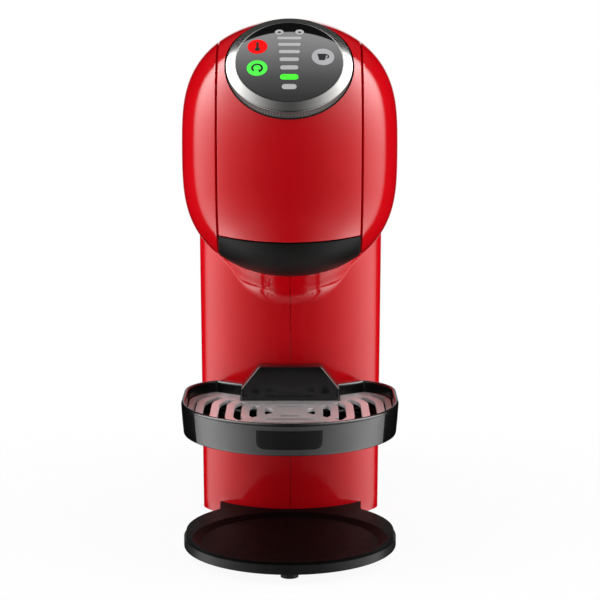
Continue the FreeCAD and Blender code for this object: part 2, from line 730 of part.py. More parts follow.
def make_handle_cover():
    seat = POD_OUTER.common(dial_block(-float(dim.facet_thickness), 0))
    skin = POD_OUTER.cut(POD_INNER).fuse(seat)
    region = solid_box((-handle_half, handle_half), (-FAR, dim.handle_back_y), (handle_low, FAR))
    hole = Part.makeCylinder(float(housing_radius), FAR, Vector(0, 0, -FAR / 2))
    hole.Placement = Placement(Vector(*[float(value) for value in dial_place]), DIAL_TURN)
    hole.translate(DIAL_TURN.multVec(Vector(0, 0, -FAR / 2)))
    shaped("handle_cover", skin.common(region).cut([dial_block(0, FAR), hole]))


def make_handle_arms():
    inner = float(dim.arm_inner_x)
    outer = inner + float(dim.arm_thickness)
    low = dim.hinge_z - dim.arm_low
    beam = POD_INNER.common(solid_box((inner, outer), (dim.arm_front_y, dim.handle_back_y), (low, FAR)))
    axis = Vector(inner, float(dim.hinge_y), float(dim.hinge_z))
    boss = Part.makeCylinder(float(dim.hinge_boss), outer - inner, axis, Vector(1, 0, 0))
    web = solid_box((inner, outer), (dim.handle_back_y - dim.hinge_boss, dim.hinge_y), (low, dim.hinge_z))
    bore_radius = float(dim.hinge_pin_radius + dim.running_gap)
    bore = Part.makeCylinder(bore_radius, outer - inner, axis, Vector(1, 0, 0))
    arm = beam.fuse([boss, web]).removeSplitter().cut(bore)
    shaped("handle_arms", Part.makeCompound([arm, arm.mirror(Vector(), Vector(1, 0, 0))]))


def make_capsule_holder():
    form = pod_solid(float(dim.holder_inset), 0.0)
    block = form.common(solid_box((-holder_half, holder_half), (-FAR, dim.holder_back_y), (0, holder_top)))
    rail_low = handle_low - dim.rail_drop
    slim = dim.frame_inner_x - dim.rail_width - dim.runner_gap
    runner_low = rail_low + dim.rail_height + dim.runner_gap
    runner_out = dim.frame_inner_x - dim.runner_gap
    runner_high = runner_low + dim.runner_height
    notches = []
    runners = []
    for side in (-1, 1):
        inner, outer = sorted((float(slim) * side, float(lane) * side))
        notches.append(
            solid_box((inner, outer), (dim.holder_nose_y, 0), (rail_low - dim.runner_gap, FAR)))
        inner, outer = sorted((float(slim) * side, float(runner_out) * side))
        runners.append(
            solid_box((inner, outer), (dim.holder_nose_y, dim.holder_back_y), (runner_low, runner_high)))
    floor = float(pod_bottom + dim.holder_inset + dim.seat_floor)
    top = float(holder_top)
    axis = Vector(0, float(dim.capsule_y), floor)
    well = Part.makeCone(float(dim.seat_foot_radius), float(dim.seat_top_radius), top - floor, axis)
    outlet = Part.makeCylinder(float(dim.outlet_radius), FAR, Vector(0, float(dim.capsule_y), 0))
    shaped("capsule_holder", block.cut(notches).fuse(runners).cut([well, outlet]))
    wall = float(dim.seat_wall)
    inside = Part.makeCone(
        float(dim.seat_foot_radius) - wall, float(dim.seat_top_radius) - wall, top - floor - wall,
        axis + Vector(0, 0, wall))
    shaped("capsule_seat", well.cut([inside, outlet]))


# Base

def base_screw_spots():
    x = float(dim.frame_inner_x - dim.frame_foot / 2)
    y = float(dim.frame_foot_y + dim.frame_foot_length / 2)
    return [Vector(side * x, y, float(dim.foot_height)) for side in (-1, 1)]


def rear_screw_spots():
    x = float(dim.rear_screw_x)
    z = float(dim.hinge_z - dim.rear_screw_drop)
    return [Vector(side * x, float(rear_face), z) for side in (-1, 1)]


def screw_solid(spot, direction):
    """A screw with a sunk head flush at its spot, running along the direction."""
    head_height = float(dim.screw_head_height)
    head = Part.makeCylinder(float(dim.screw_head), head_height, spot, direction)
    start = spot + direction * head_height
    shank = Part.makeCylinder(float(dim.screw_radius), float(dim.screw_length), start, direction)
    return head.fuse(shank).removeSplitter()


def make_screws():
    base = [screw_solid(spot, Vector(0, 0, 1)) for spot in base_screw_spots()]
    rear = [screw_solid(spot, Vector(0, -1, 0)) for spot in rear_screw_spots()]
    return shaped("base_screws", Part.makeCompound(base)), shaped("rear_screws", Part.makeCompound(rear))


def rear_plate(half, front, back, corner, low, height, name):
    owner = body(name)
    outline = sketch(owner, "XY_Plane", low)
    square_front(outline, half, front, back, corner)
    pad(owner, outline, height)
    return owner


def make_base(base_screws):
    disc = cylinder(dim.base_radius, dim.chassis_height, (0, dim.cup_axis_y, dim.foot_height))
    neck_x = (-dim.base_neck_half, dim.base_neck_half)
    neck_y = (dim.cup_axis_y, dim.base_step_y)
    neck = box(neck_x, neck_y, (dim.foot_height, chassis_top))
    tail = rear_plate(
        dim.base_half, dim.base_step_y, dim.base_back_y, dim.base_corner, dim.foot_height, dim.chassis_height,
        "ChassisTail")
    subpart("base_chassis", cut(fuse([disc, neck, tail]), [base_screws]))
    deck_disc = cylinder(dim.base_radius - dim.deck_step, dim.deck_height, (0, dim.cup_axis_y, chassis_top))
    deck_neck = box(neck_x, neck_y, (chassis_top, deck_top))
    deck_half = dim.base_half - dim.deck_step
    deck_tail = box((-deck_half, deck_half), (dim.base_step_y, rear_face), (chassis_top, deck_top))
    dish_y = dim.cup_axis_y - dim.dish_forward
    dish_rim = dim.dish_radius + dim.dish_slope
    dish = cone(dim.dish_radius, dish_rim, dim.dish_depth, (0, dish_y, deck_top - dim.dish_depth))
    subpart("base_deck", cut(fuse([deck_disc, deck_neck, deck_tail]), [dish, base_screws]))
    front_y = dim.cup_axis_y - dim.base_radius + dim.foot_radius + dim.foot_edge
    back_y = dim.base_back_y - dim.foot_radius - dim.foot_edge
    spots = [(0, front_y)]
    for y in (dim.cup_axis_y + dim.foot_radius, back_y - dim.foot_rear_inset):
        spots += [(-dim.foot_side_x, y), (dim.foot_side_x, y)]
    feet = [cylinder(dim.foot_radius, dim.foot_height, (x, y, 0)) for x, y in spots]
    subpart("rubber_feet", group(feet))


# Frames, hinge and guides

def make_frames(base_screws):
    rail_low = handle_low - dim.rail_drop
    back = dim.body_back_y
    outline = [
        (dim.frame_front_y, rail_low),
        (dim.holder_back_y, rail_low),
        (dim.holder_back_y, holder_top),
        (dim.frame_column_y, holder_top),
        (dim.frame_column_y, deck_top),
        (back, deck_top),
        (back, pocket_z),
        (dim.hinge_y - dim.frame_ear, pocket_z),
        (dim.hinge_y - dim.frame_ear, dim.frame_top_z),
        (dim.frame_slope_y, dim.frame_top_z),
        (dim.frame_front_y, dim.frame_nose_z),
    ]
    inner = dim.frame_inner_x
    outer = inner + dim.frame_thickness
    foot_y = (dim.frame_foot_y, dim.frame_foot_y + dim.frame_foot_length)
    foot_z = (deck_top, deck_top + dim.frame_foot_height)
    for label, start, foot_x in (
        ("left_frame", -outer, (-inner, -inner + dim.frame_foot)),
        ("right_frame", inner, (inner - dim.frame_foot, inner)),
    ):
        plate = side_plate("FramePlate", outline, start, dim.frame_thickness)
        foot = box(foot_x, foot_y, foot_z)
        pin_hole = cylinder(
            dim.hinge_pin_radius, dim.frame_thickness, (start, dim.hinge_y, dim.hinge_z), ALONG_X)
        subpart(label, cut(fuse([plate, foot]), [pin_hole, base_screws]))
    pin_start = (-outer, dim.hinge_y, dim.hinge_z)
    subpart("hinge_pin", cylinder(dim.hinge_pin_radius, outer * 2, pin_start, ALONG_X))
    rails = []
    for x_span in ((-inner, -inner + dim.rail_width), (inner - dim.rail_width, inner)):
        rail_y = (dim.frame_front_y, dim.holder_back_y)
        rails.append(box(x_span, rail_y, (rail_low, rail_low + dim.rail_height)))
    subpart("holder_rails", group(rails))
    bridge_y = (dim.bridge_front_y, dim.bridge_back_y)
    subpart("frame_bridge", box((-inner, inner), bridge_y, (bridge_low, bridge_low + dim.bridge_height)))
    rod_low = carrier_low - dim.rod_below
    rod_length = bridge_low - rod_low
    spots = [(x, dim.rod_y, rod_low) for x in (-dim.rod_x, dim.rod_x)]
    subpart("guide_rods", group([cylinder(dim.rod_radius, rod_length, spot) for spot in spots]))


def make_hinge_block(rear_screws):
    half = dim.hinge_block_half
    y_span = (dim.hinge_y - dim.hinge_block_front, dim.body_back_y)
    z_span = (dim.hinge_z - dim.hinge_block_drop, dim.hinge_z + dim.hinge_block_rise)
    block = box((-half, half), y_span, z_span)
    bore = cylinder(dim.hinge_pin_radius, half * 2, (-half, dim.hinge_y, dim.hinge_z), ALONG_X)
    subpart("hinge_block", cut(block, [bore, rear_screws]))


# Dial and display on the handle

def make_dial():
    lip = dim.ring_radius + dim.gasket_lip
    gasket = tube(lip, housing_radius, dim.dial_gasket, (0, 0, 0))
    place(gasket, dial_place, DIAL_TURN)
    subpart("dial_gasket", gasket)
    profile = [
        (dim.ring_bore, ring_low + dim.running_gap),
        (dim.ring_radius, ring_low + dim.running_gap),
        (dim.ring_radius, ring_shoulder),
        (dim.ring_bore + dim.ring_land, ring_top),
        (dim.ring_bore, ring_top),
    ]
    subpart("selector_ring", place(turned("Ring", profile), dial_place, DIAL_TURN))
    foot = (0, 0, -dim.housing_depth)
    height = lens_low + dim.housing_depth
    outside = cylinder(housing_radius, height, foot)
    inside = cylinder(housing_radius - dim.housing_wall, height - dim.housing_wall, foot)
    subpart("display_housing", place(cut(outside, [inside]), dial_place, DIAL_TURN))
    board_low = lens_low - dim.housing_wall - dim.board_thickness
    board = cylinder(housing_radius - dim.housing_wall, dim.board_thickness, (0, 0, board_low))
    subpart("display_board", place(group([board]), dial_place, DIAL_TURN))
    make_lens()


def make_lens():
    """A thin disc with a shallow domed top."""
    radius = float(housing_radius)
    edge = float(ring_top)
    low = float(lens_low)
    dome = float(dim.lens_dome)
    ball = (radius ** 2 + dome ** 2) / (2 * dome)
    disc = Part.makeCylinder(radius, edge - low + dome, Vector(0, 0, low))
    cap = Part.makeSphere(ball, Vector(0, 0, edge + dome - ball))
    item = shaped("display_lens", disc.common(cap))
    place(item, dial_place, DIAL_TURN)


# Injection unit, which the handle raises

def make_injection_unit():
    plate = cylinder(dim.plate_radius, dim.plate_height, (0, dim.capsule_y, plate_low))
    carrier_y = (dim.capsule_y, dim.carrier_back_y)
    carrier = box((-dim.carrier_half, dim.carrier_half), carrier_y, (carrier_low, carrier_top))
    hole_radius = dim.rod_radius + dim.running_gap
    hole_height = dim.plate_height + dim.carrier_height
    spots = [(x, dim.rod_y, plate_low) for x in (-dim.rod_x, dim.rod_x)]
    holes = [cylinder(hole_radius, hole_height, spot) for spot in spots]
    subpart("injection_plate", cut(fuse([plate, carrier]), holes))
    needle_low = plate_low - dim.needle_length
    subpart(
        "piercing_needle",
        cone(dim.needle_tip, dim.needle_radius, dim.needle_length, (0, dim.capsule_y, needle_low)))
    seal_low = plate_low - dim.seal_height
    bore = dim.seal_radius - dim.seal_width
    subpart("injection_seal", tube(dim.seal_radius, bore, dim.seal_height, (0, dim.capsule_y, seal_low)))


# Drip tray and grid

def band_zone(inner, outer, half, low, height):
    """Part of a round wall about the tray's front axis."""
    ring = tube(outer, inner, height, (0, dim.tray_axis_y, low))
    front = box((-half, half), (dim.tray_axis_y - outer, dim.tray_axis_y), (low, low + height))
    return common(ring, front)


def tray_block(name):
    """The tray's outline as a solid block."""
    owner = body(name)
    outline = sketch(owner, "XY_Plane", dim.tray_low_z)
    round_front(outline, dim.tray_half, dim.tray_axis_y, dim.tray_back_y, dim.tray_corner)
    pad(owner, outline, dim.tray_height)
    return owner


def tray_bracket():
    """The upright behind the tray that rests against the column."""
    owner = body("TrayBracket")
    face = sketch(owner, "XZ_Plane", -dim.bracket_front_y)
    foot = dim.bracket_foot_half
    top = dim.bracket_top_half
    low = grid_top - dim.grid_thickness
    crest = tray_rim + dim.bracket_rise
    right_side = [(foot, low), (foot, tray_rim), (top, crest)]
    polygon(face, right_side + [(-x, z) for x, z in reversed(right_side)])
    upright = pad(owner, face, dim.tray_back_y - dim.bracket_front_y)
    upright.Reversed = True
    return owner


def make_tray():
    owner = tray_block("TrayBody")
    basin = sketch(owner, "XY_Plane", tray_rim)
    wall = dim.tray_wall
    round_front(basin, dim.tray_half - wall, dim.tray_axis_y, dim.tray_back_y - wall, dim.tray_corner - wall)
    pocket(owner, basin, dim.tray_height - wall)
    column_spot = (0, column_axis_y, dim.tray_low_z)
    ring = tube(tray_room + wall, tray_room, dim.tray_height, column_spot)
    hollow_wall = common(ring, tray_block("TrayEnvelope"))
    rest_low = dim.tray_low_z + wall
    rest_high = grid_top - dim.grid_thickness
    rests = []
    for x in (-dim.rest_x, dim.rest_x):
        x_span = (x - dim.rest_width / 2, x + dim.rest_width / 2)
        y_span = (dim.tray_axis_y - dim.rest_length / 2, dim.tray_axis_y + dim.rest_length / 2)
        rests.append(box(x_span, y_span, (rest_low, rest_high)))
    front_y = dim.tray_axis_y - dim.tray_half + wall * 2
    front_span = (front_y, front_y + dim.rest_length)
    rests.append(box((-dim.rest_width / 2, dim.rest_width / 2), front_span, (rest_low, rest_high)))
    column_room = cylinder(tray_room, dim.tray_height + dim.bracket_rise, column_spot)
    band_low = dim.tray_low_z + dim.band_margin
    band_height = dim.tray_height - dim.band_margin * 2
    band_inner = dim.tray_half - dim.band_thickness
    magnet_low = tray_rim + dim.magnet_rise
    magnet_y = dim.bracket_front_y + wall
    magnets = [
        cylinder(dim.magnet_radius, dim.magnet_length, (x, magnet_y, magnet_low), ALONG_Y)
        for x in (-dim.magnet_x, dim.magnet_x)]
    subpart("tray_magnets", group(magnets))
    recess = band_zone(band_inner, dim.tray_half, dim.band_half, band_low, band_height)
    solid = fuse([owner, hollow_wall, tray_bracket()] + rests)
    subpart("drip_tray", cut(solid, [column_room, recess] + magnets))
    badge_low = dim.tray_low_z + dim.badge_low
    badge_outer = dim.tray_half + dim.badge_proud
    badge_inner = badge_outer - dim.badge_thickness
    badge = band_zone(badge_inner, badge_outer, dim.badge_half, badge_low, dim.badge_height)
    subpart("badge_plate", badge)
    band = band_zone(band_inner, dim.tray_half, dim.band_half, band_low, band_height)
    subpart("tray_band", cut(band, [badge]))
    keeper_outer = dim.column_arc - dim.wall
    keeper_spot = (0, column_axis_y, dim.keeper_low_z)
    keeper = tube(keeper_outer, keeper_outer - dim.keeper_thickness, dim.keeper_height, keeper_spot)
    front = box(
        (-dim.keeper_half, dim.keeper_half), (dim.column_front_y, column_axis_y),
        (dim.keeper_low_z, dim.keeper_low_z + dim.keeper_height))
    subpart("magnet_keeper", common(keeper, front))


def rounded_square(half, corner, centre, low, height):
    """An upright block with a square plan and round corners."""
    points = []
    inner = half - corner
    for quarter in range(4):
        turn = math.pi / 2 * quarter
        middle = Vector(inner, inner, 0)
        spin = Rotation(Vector(0, 0, 1), math.degrees(turn))
        points.append([spin.multVec(middle + Vector(corner * math.cos(a), corner * math.sin(a), 0))
                       for a in (0, math.pi / 4, math.pi / 2)])
    edges = []
    for index, (start, through, end) in enumerate(points):
        edges.append(Part.Arc(start, through, end).toShape())
        edges.append(Part.makeLine(end, points[(index + 1) % 4][0]))
    block = Part.Face(Part.Wire(edges)).extrude(Vector(0, 0, height))
    block.translate(Vector(centre.x, centre.y, low))
    return block


def grid_plate(inset, low, thickness):
    """A flat plate inside the tray: round front and rear corners, hollowed round the column."""
    half = float(dim.tray_half) - inset
    axis = float(dim.tray_axis_y)
    back = float(dim.tray_back_y) - inset
    disc = Part.makeCylinder(half, thickness, Vector(0, axis, low))
    tail = solid_box((-half, half), (axis, back), (low, low + thickness))
    upright_edges = [edge for edge in tail.Edges if edge.BoundBox.ZLength > thickness / 2]
    rear_edges = [edge for edge in upright_edges if edge.CenterOfMass.y > axis]
    tail = tail.makeFillet(float(dim.tray_corner) - inset, rear_edges)
    room = Part.makeCylinder(float(tray_room) + inset, thickness, Vector(0, float(column_axis_y), low))
    gap = inset - float(dim.tray_wall)
    side = float(dim.bracket_foot_half) + gap
    upright = solid_box((-side, side), (float(dim.bracket_front_y) - gap, back), (low, low + thickness))
    return disc.fuse(tail).cut([room, upright]).removeSplitter()


def make_grid():
    """The drip grid: a plate inside the tray with rings of rounded square slots, bridged at the corners."""
    thickness = float(dim.grid_thickness)
    low = float(grid_top) - thickness
    inset = float(dim.tray_wall + dim.grid_gap)
    plate = grid_plate(inset, low, thickness)
    zone = grid_plate(inset + float(dim.slot_margin), low, thickness)
    centre = Vector(0, float(dim.tray_axis_y), 0)
    slots = []
    size = float(dim.slot_core)
    while size < float(dim.tray_half):
        outer_half = size + float(dim.slot_width)
        outer = rounded_square(outer_half, outer_half * CORNER_SHARE, centre, low, thickness)
        inner = rounded_square(size, size * CORNER_SHARE, centre, low, thickness)
        slots.append(outer.cut(inner))
        size += float(dim.slot_pitch)
    bridges = []
    for angle in (45, 135):
        width = float(dim.slot_bridge)
        bar = Part.makeBox(FAR, width, thickness, Vector(-FAR / 2, -width / 2, low))
        bar.Placement = Placement(centre, Rotation(Vector(0, 0, 1), angle))
        bridges.append(bar)
    openings = Part.makeCompound(slots).common(zone).cut(bridges)
    shaped("drip_grid", plate.cut(openings))


# Water tank, its shelf and its valve

def make_tank_shelf():
    low = chassis_top
    height = shelf_top - low
    back = dim.base_back_y
    front = shelf_front
    shelf_body = rear_plate(shelf_half, front, back, dim.base_corner, low, height, "ShelfBody")
    wall = dim.shelf_wall
    corner = dim.base_corner - wall
    hollow = rear_plate(
        shelf_half - wall, front + wall, back - wall, corner, low, height - wall, "ShelfHollow")
    socket = cylinder(dim.socket_radius, wall, (0, dim.valve_y, shelf_top - wall))
    hose = cylinder(dim.hose_radius, wall, (0, front, dim.supply_z), ALONG_Y)
    gland = cylinder(dim.gland_radius, wall, (dim.gland_x, back - wall, dim.service_z), ALONG_Y)
    button = cylinder(
        dim.button_radius + dim.button_gap, wall, (dim.button_x, back - wall, dim.service_z), ALONG_Y)
    subpart("tank_shelf", cut(shelf_body, [hollow, socket, hose, gland, button]))


def make_gland_and_button():
    back = dim.base_back_y
    wall = dim.shelf_wall
    neck = dim.gland_length - dim.gland_flange_height
    stem = cylinder(dim.gland_radius, neck, (dim.gland_x, back - neck, dim.service_z), ALONG_Y)
    flange = cylinder(dim.gland_flange, dim.gland_flange_height, (dim.gland_x, back, dim.service_z), ALONG_Y)
    bore = cylinder(dim.gland_bore, dim.gland_length, (dim.gland_x, back - neck, dim.service_z), ALONG_Y)
    subpart("cord_gland", cut(fuse([stem, flange]), [bore]))
    collar_back = back - wall - dim.button_travel_gap
    collar_front = collar_back - dim.button_collar_height
    spot = (dim.button_x, collar_front, dim.service_z)
    shaft = cylinder(dim.button_radius, back + dim.button_proud - collar_front, spot, ALONG_Y)
    collar = cylinder(dim.button_collar, dim.button_collar_height, spot, ALONG_Y)
    subpart("power_button", fuse([shaft, collar]))


def make_tank():
    half = dim.tank_half
    front = dim.tank_front_y
    back = dim.tank_back_y
    wall = dim.tank_wall
    height = dim.tank_top_z - dim.tank_low_z
    vessel = rear_plate(half, front, back, dim.tank_corner, dim.tank_low_z, height, "TankVessel")
    room = rear_plate(
        half - wall, front + wall, back - wall, dim.tank_corner - wall, dim.tank_low_z + wall, height,
        "TankRoom")
    valve_hole = cylinder(dim.valve_radius, wall, (0, dim.valve_y, dim.tank_low_z))
    subpart("water_tank", cut(vessel, [room, valve_hole]))
    axis_y = dim.lid_axis_y
    deck_front = axis_y + dim.lid_height / 2 + dim.lid_gap
    top = lid_low + dim.lid_height
    block = rear_plate(half, front, back, dim.tank_corner, dim.tank_top_z, top - dim.tank_top_z, "TankTop")
    rear_zone = box((-half, half), (deck_front, back), (dim.tank_top_z, top))
    deck = common(block, rear_zone)
    radius = dim.lid_height / 2
    ears = []
    for x in (-dim.lid_ear_x - dim.lid_ear_width, dim.lid_ear_x):
        ear_x = (x, x + dim.lid_ear_width)
        ears.append(box(ear_x, (axis_y, deck_front), (dim.tank_top_z, top)))
        ears.append(cylinder(radius, dim.lid_ear_width, (x, axis_y, lid_axis_z), ALONG_X))
    pin_half = dim.lid_ear_x + dim.lid_ear_width
    pin = cylinder(dim.lid_pin_radius, pin_half * 2, (-pin_half, axis_y, lid_axis_z), ALONG_X)
    subpart("lid_pin", pin)
    subpart("tank_rim", cut(fuse([deck] + ears), [pin]))
    lid_front = front + dim.lid_front_inset
    sheet_block = rear_plate(half, lid_front, back, dim.tank_corner, lid_low, dim.lid_height, "LidSheet")
    flat_zone = box((-half, half), (lid_front, axis_y), (lid_low, top))
    leaf = common(sheet_block, flat_zone)
    roll_half = pin_half + dim.lid_ear_width
    roll = cylinder(radius, roll_half * 2, (-roll_half, axis_y, lid_axis_z), ALONG_X)
    rooms = []
    for x in (-dim.lid_ear_x - dim.lid_ear_width, dim.lid_ear_x):
        ear_room = (x - dim.lid_gap, x + dim.lid_ear_width + dim.lid_gap)
        rooms.append(box(ear_room, (axis_y - radius - dim.lid_gap, back), (lid_low, top)))
    bore_radius = dim.lid_pin_radius + dim.running_gap
    bore = cylinder(bore_radius, roll_half * 2, (-roll_half, axis_y, lid_axis_z), ALONG_X)
    subpart("tank_lid", cut(fuse([leaf, roll]), rooms + [bore]))


def make_valve():
    low = dim.tank_low_z - dim.valve_drop
    floor_top = low + dim.valve_floor
    cap_low = dim.tank_low_z + dim.tank_wall + dim.valve_rise
    outside = cylinder(dim.valve_radius, cap_low + dim.valve_floor - low, (0, dim.valve_y, low))
    chamber = cylinder(dim.valve_bore, cap_low - floor_top, (0, dim.valve_y, floor_top))
    mouth = cylinder(dim.valve_mouth, dim.valve_floor, (0, dim.valve_y, low))
    vent = cylinder(dim.plunger_stem + dim.running_gap, dim.valve_floor, (0, dim.valve_y, cap_low))
    side_holes = []
    for turn in (ALONG_X, ALONG_Y):
        reach = dim.valve_radius
        spot = (-reach, dim.valve_y, cap_low - dim.valve_mouth) if turn is ALONG_X else (
            0, dim.valve_y - reach, cap_low - dim.valve_mouth)
        side_holes.append(cylinder(dim.plunger_stem, reach * 2, spot, turn))
    subpart("valve_body", cut(outside, [chamber, mouth, vent] + side_holes))
    head = cylinder(dim.plunger_head, dim.plunger_height, (0, dim.valve_y, floor_top))
    stem_low = floor_top - dim.valve_floor / 2
    stem = cylinder(dim.plunger_stem, cap_low + dim.valve_floor / 2 - stem_low, (0, dim.valve_y, stem_low))
    subpart("valve_plunger", fuse([head, stem]))
    make_spring(floor_top + dim.plunger_height, cap_low)


def make_spring(low, high):
    """The valve spring: a coil of eight-sided wire between two levels."""
    wire = float(dim.spring_wire)
    radius = float(dim.spring_radius)
    start = float(low) + wire
    height = float(high) - wire - start
    helix = Part.makeHelix(height / float(dim.spring_turns), height, radius)
    turns = [2 * math.pi * step / WIRE_SIDES for step in range(WIRE_SIDES + 1)]
    corners = [Vector(radius + wire * math.cos(turn), 0, wire * math.sin(turn)) for turn in turns]
    coil = Part.Wire(helix).makePipeShell([Part.makePolygon(corners)], True, True)
    coil.translate(Vector(0, float(dim.valve_y), start))
    shaped("valve_spring", coil)


# Water path, pump and heater

def make_water_path():
    spigot_top = dim.tank_low_z - dim.valve_drop - dim.spigot_gap
    flange = cylinder(dim.spigot_flange, dim.spigot_flange_height, (0, dim.valve_y, chassis_top))
    hose_end = dim.valve_y - dim.spigot_radius
    pipe = cylinder(dim.spigot_radius, spigot_top - chassis_top, (0, dim.valve_y, chassis_top))
    bore = cylinder(dim.spigot_bore, spigot_top - dim.supply_z, (0, dim.valve_y, dim.supply_z))
    port = cylinder(dim.hose_bore, dim.spigot_radius, (0, hose_end, dim.supply_z), ALONG_Y)
    subpart("inlet_spigot", cut(fuse([flange, pipe]), [bore, port]))
    meter = cylinder(dim.meter_radius, dim.meter_height, (0, dim.pump_y, meter_low))
    subpart("flow_meter", meter)
    hose_start = (0, dim.pump_y, dim.supply_z)
    run = cylinder(dim.hose_radius, hose_end - dim.pump_y, hose_start, ALONG_Y)
    spigot_room = cylinder(dim.spigot_radius, dim.tank_low_z, (0, dim.valve_y, 0))
    hollow = cylinder(dim.hose_bore, hose_end - dim.pump_y, hose_start, ALONG_Y)
    subpart("supply_hose", cut(run, [meter, spigot_room, hollow]))
    axis = (0, dim.pump_y)
    subpart("suction_hose", tube(dim.hose_radius, dim.hose_bore, pump_low - meter_top, (*axis, meter_top)))
    subpart("pump_body", cylinder(dim.pump_radius, dim.pump_length, (*axis, pump_low)))
    coil_low = pump_low + dim.coil_low
    coil_block = box(
        (-dim.coil_half, dim.coil_half), (dim.pump_y - dim.coil_half, dim.pump_y + dim.coil_half),
        (coil_low, coil_low + dim.coil_height))
    core = cylinder(dim.pump_radius, dim.coil_height, (*axis, coil_low))
    subpart("pump_coil", cut(coil_block, [core]))
    mounts = []
    for low in (pump_low + dim.mount_margin, pump_top - dim.mount_margin - dim.mount_height):
        y_span = (dim.pump_y - dim.mount_depth / 2, dim.pump_y + dim.mount_depth / 2)
        block = box((-dim.mount_half, dim.mount_half), y_span, (low, low + dim.mount_height))
        mounts.append(cut(block, [cylinder(dim.pump_radius, dim.mount_height, (*axis, low))]))
    subpart("pump_mounts", group(mounts))
    riser_height = dim.boiler_low_z - pump_top
    subpart("pressure_hose", tube(dim.hose_radius, dim.hose_bore, riser_height, (*axis, pump_top)))


def make_heater():
    half = dim.boiler_half
    block = box((-half, half), (dim.boiler_front_y, dim.boiler_back_y), (dim.boiler_low_z, boiler_top))
    reach = half + dim.element_overhang
    middle_y = (dim.boiler_front_y + dim.boiler_back_y) / 2
    middle_z = dim.boiler_low_z + dim.boiler_height / 2
    element = cylinder(dim.element_radius, reach * 2, (-reach, middle_y, middle_z), ALONG_X)
    subpart("heating_element", element)
    subpart("heater_block", cut(block, [element]))
    ledge_x = (-dim.frame_inner_x, dim.frame_inner_x)
    ledge_z = (dim.boiler_low_z - dim.wall, dim.boiler_low_z)
    ledge = box(ledge_x, (dim.frame_column_y, dim.boiler_back_y), ledge_z)
    pipe_room = cylinder(dim.hose_radius, dim.boiler_low_z - pump_top, (0, dim.pump_y, pump_top))
    subpart("heater_ledge", cut(ledge, [pipe_room]))
    make_brew_hose()


def make_brew_hose():
    """The hose from the heater to the injection plate: forward, round a bend, and down."""
    bend = float(dim.brew_bend)
    start = Vector(0, float(dim.boiler_front_y), float(dim.brew_z))
    corner = Vector(0, float(dim.rod_y), float(dim.brew_z))
    end = Vector(0, float(dim.rod_y), float(carrier_top))
    bend = min(bend, corner.z - end.z)
    centre = corner + Vector(0, bend, -bend)
    middle = centre + Vector(0, -bend, bend) / math.sqrt(2)
    arc_edge = Part.Arc(corner + Vector(0, bend, 0), middle, corner + Vector(0, 0, -bend)).toShape()
    edges = [Part.makeLine(start, corner + Vector(0, bend, 0)), arc_edge]
    if corner.z - bend - end.z > float(dim.running_gap):
        edges.append(Part.makeLine(corner + Vector(0, 0, -bend), end))
    path = Part.Wire(edges)
    section = Part.Wire([Part.Circle(start, Vector(0, 1, 0), float(dim.hose_radius)).toShape()])
    hollow = Part.Wire([Part.Circle(start, Vector(0, 1, 0), float(dim.hose_bore)).toShape()])
    outside = path.makePipeShell([section], True, False)
    inside = path.makePipeShell([hollow], True, False)
    shaped("brew_hose", outside.cut(inside))


def make_main_board():
    inner = -dim.frame_inner_x - dim.frame_thickness
    face = inner - dim.board_gap
    y_span = (dim.board_front_y, dim.board_front_y + dim.board_depth)
    z_span = (dim.board_low_z, dim.board_low_z + dim.board_height)
    subpart("main_board", box((face - dim.board_thickness, face), y_span, z_span))
    spacers = []
    for y in (y_span[0] + dim.spacer_edge, y_span[1] - dim.spacer_edge):
        for z in (z_span[0] + dim.spacer_edge, z_span[1] - dim.spacer_edge):
            spacers.append(cylinder(dim.spacer_radius, dim.board_gap, (face, y, z), ALONG_X))
    subpart("board_spacers", group(spacers))


def check_and_write():
    doc.recompute()
    for item in doc.Objects:
        if "Invalid" in item.State or "Error" in item.State:
            raise RuntimeError(f"{item.Name} ({item.Label}) failed: {item.State}")
    for label, item in subparts.items():
        if item.Shape.isNull() or not item.Shape.isValid() or not item.Shape.Solids:
            raise RuntimeError(f"{label} has no valid solid")
    os.makedirs("parts", exist_ok=True)
    for label, item in subparts.items():
        item.Shape.exportStep(f"parts/{label}.step")
        extent = item.Shape.BoundBox
        print(f"{label}: {len(item.Shape.Solids)} solid(s), {item.Shape.Volume / 1000:.2f} cm3, "
              f"{extent.XLength:.1f} x {extent.YLength:.1f} x {extent.ZLength:.1f} mm")


base_screw_group, rear_screw_group = make_screws()
make_side_shells()
make_rear_cover()
make_handle_cover()
make_handle_arms()
make_capsule_holder()
make_base(base_screw_group)
make_frames(base_screw_group)
make_hinge_block(rear_screw_group)
make_dial()
make_injection_unit()
make_tray()
make_grid()
make_tank_shelf()
make_gland_and_button()
make_tank()
make_valve()
make_water_path()
make_heater()
make_main_board()
check_and_write()
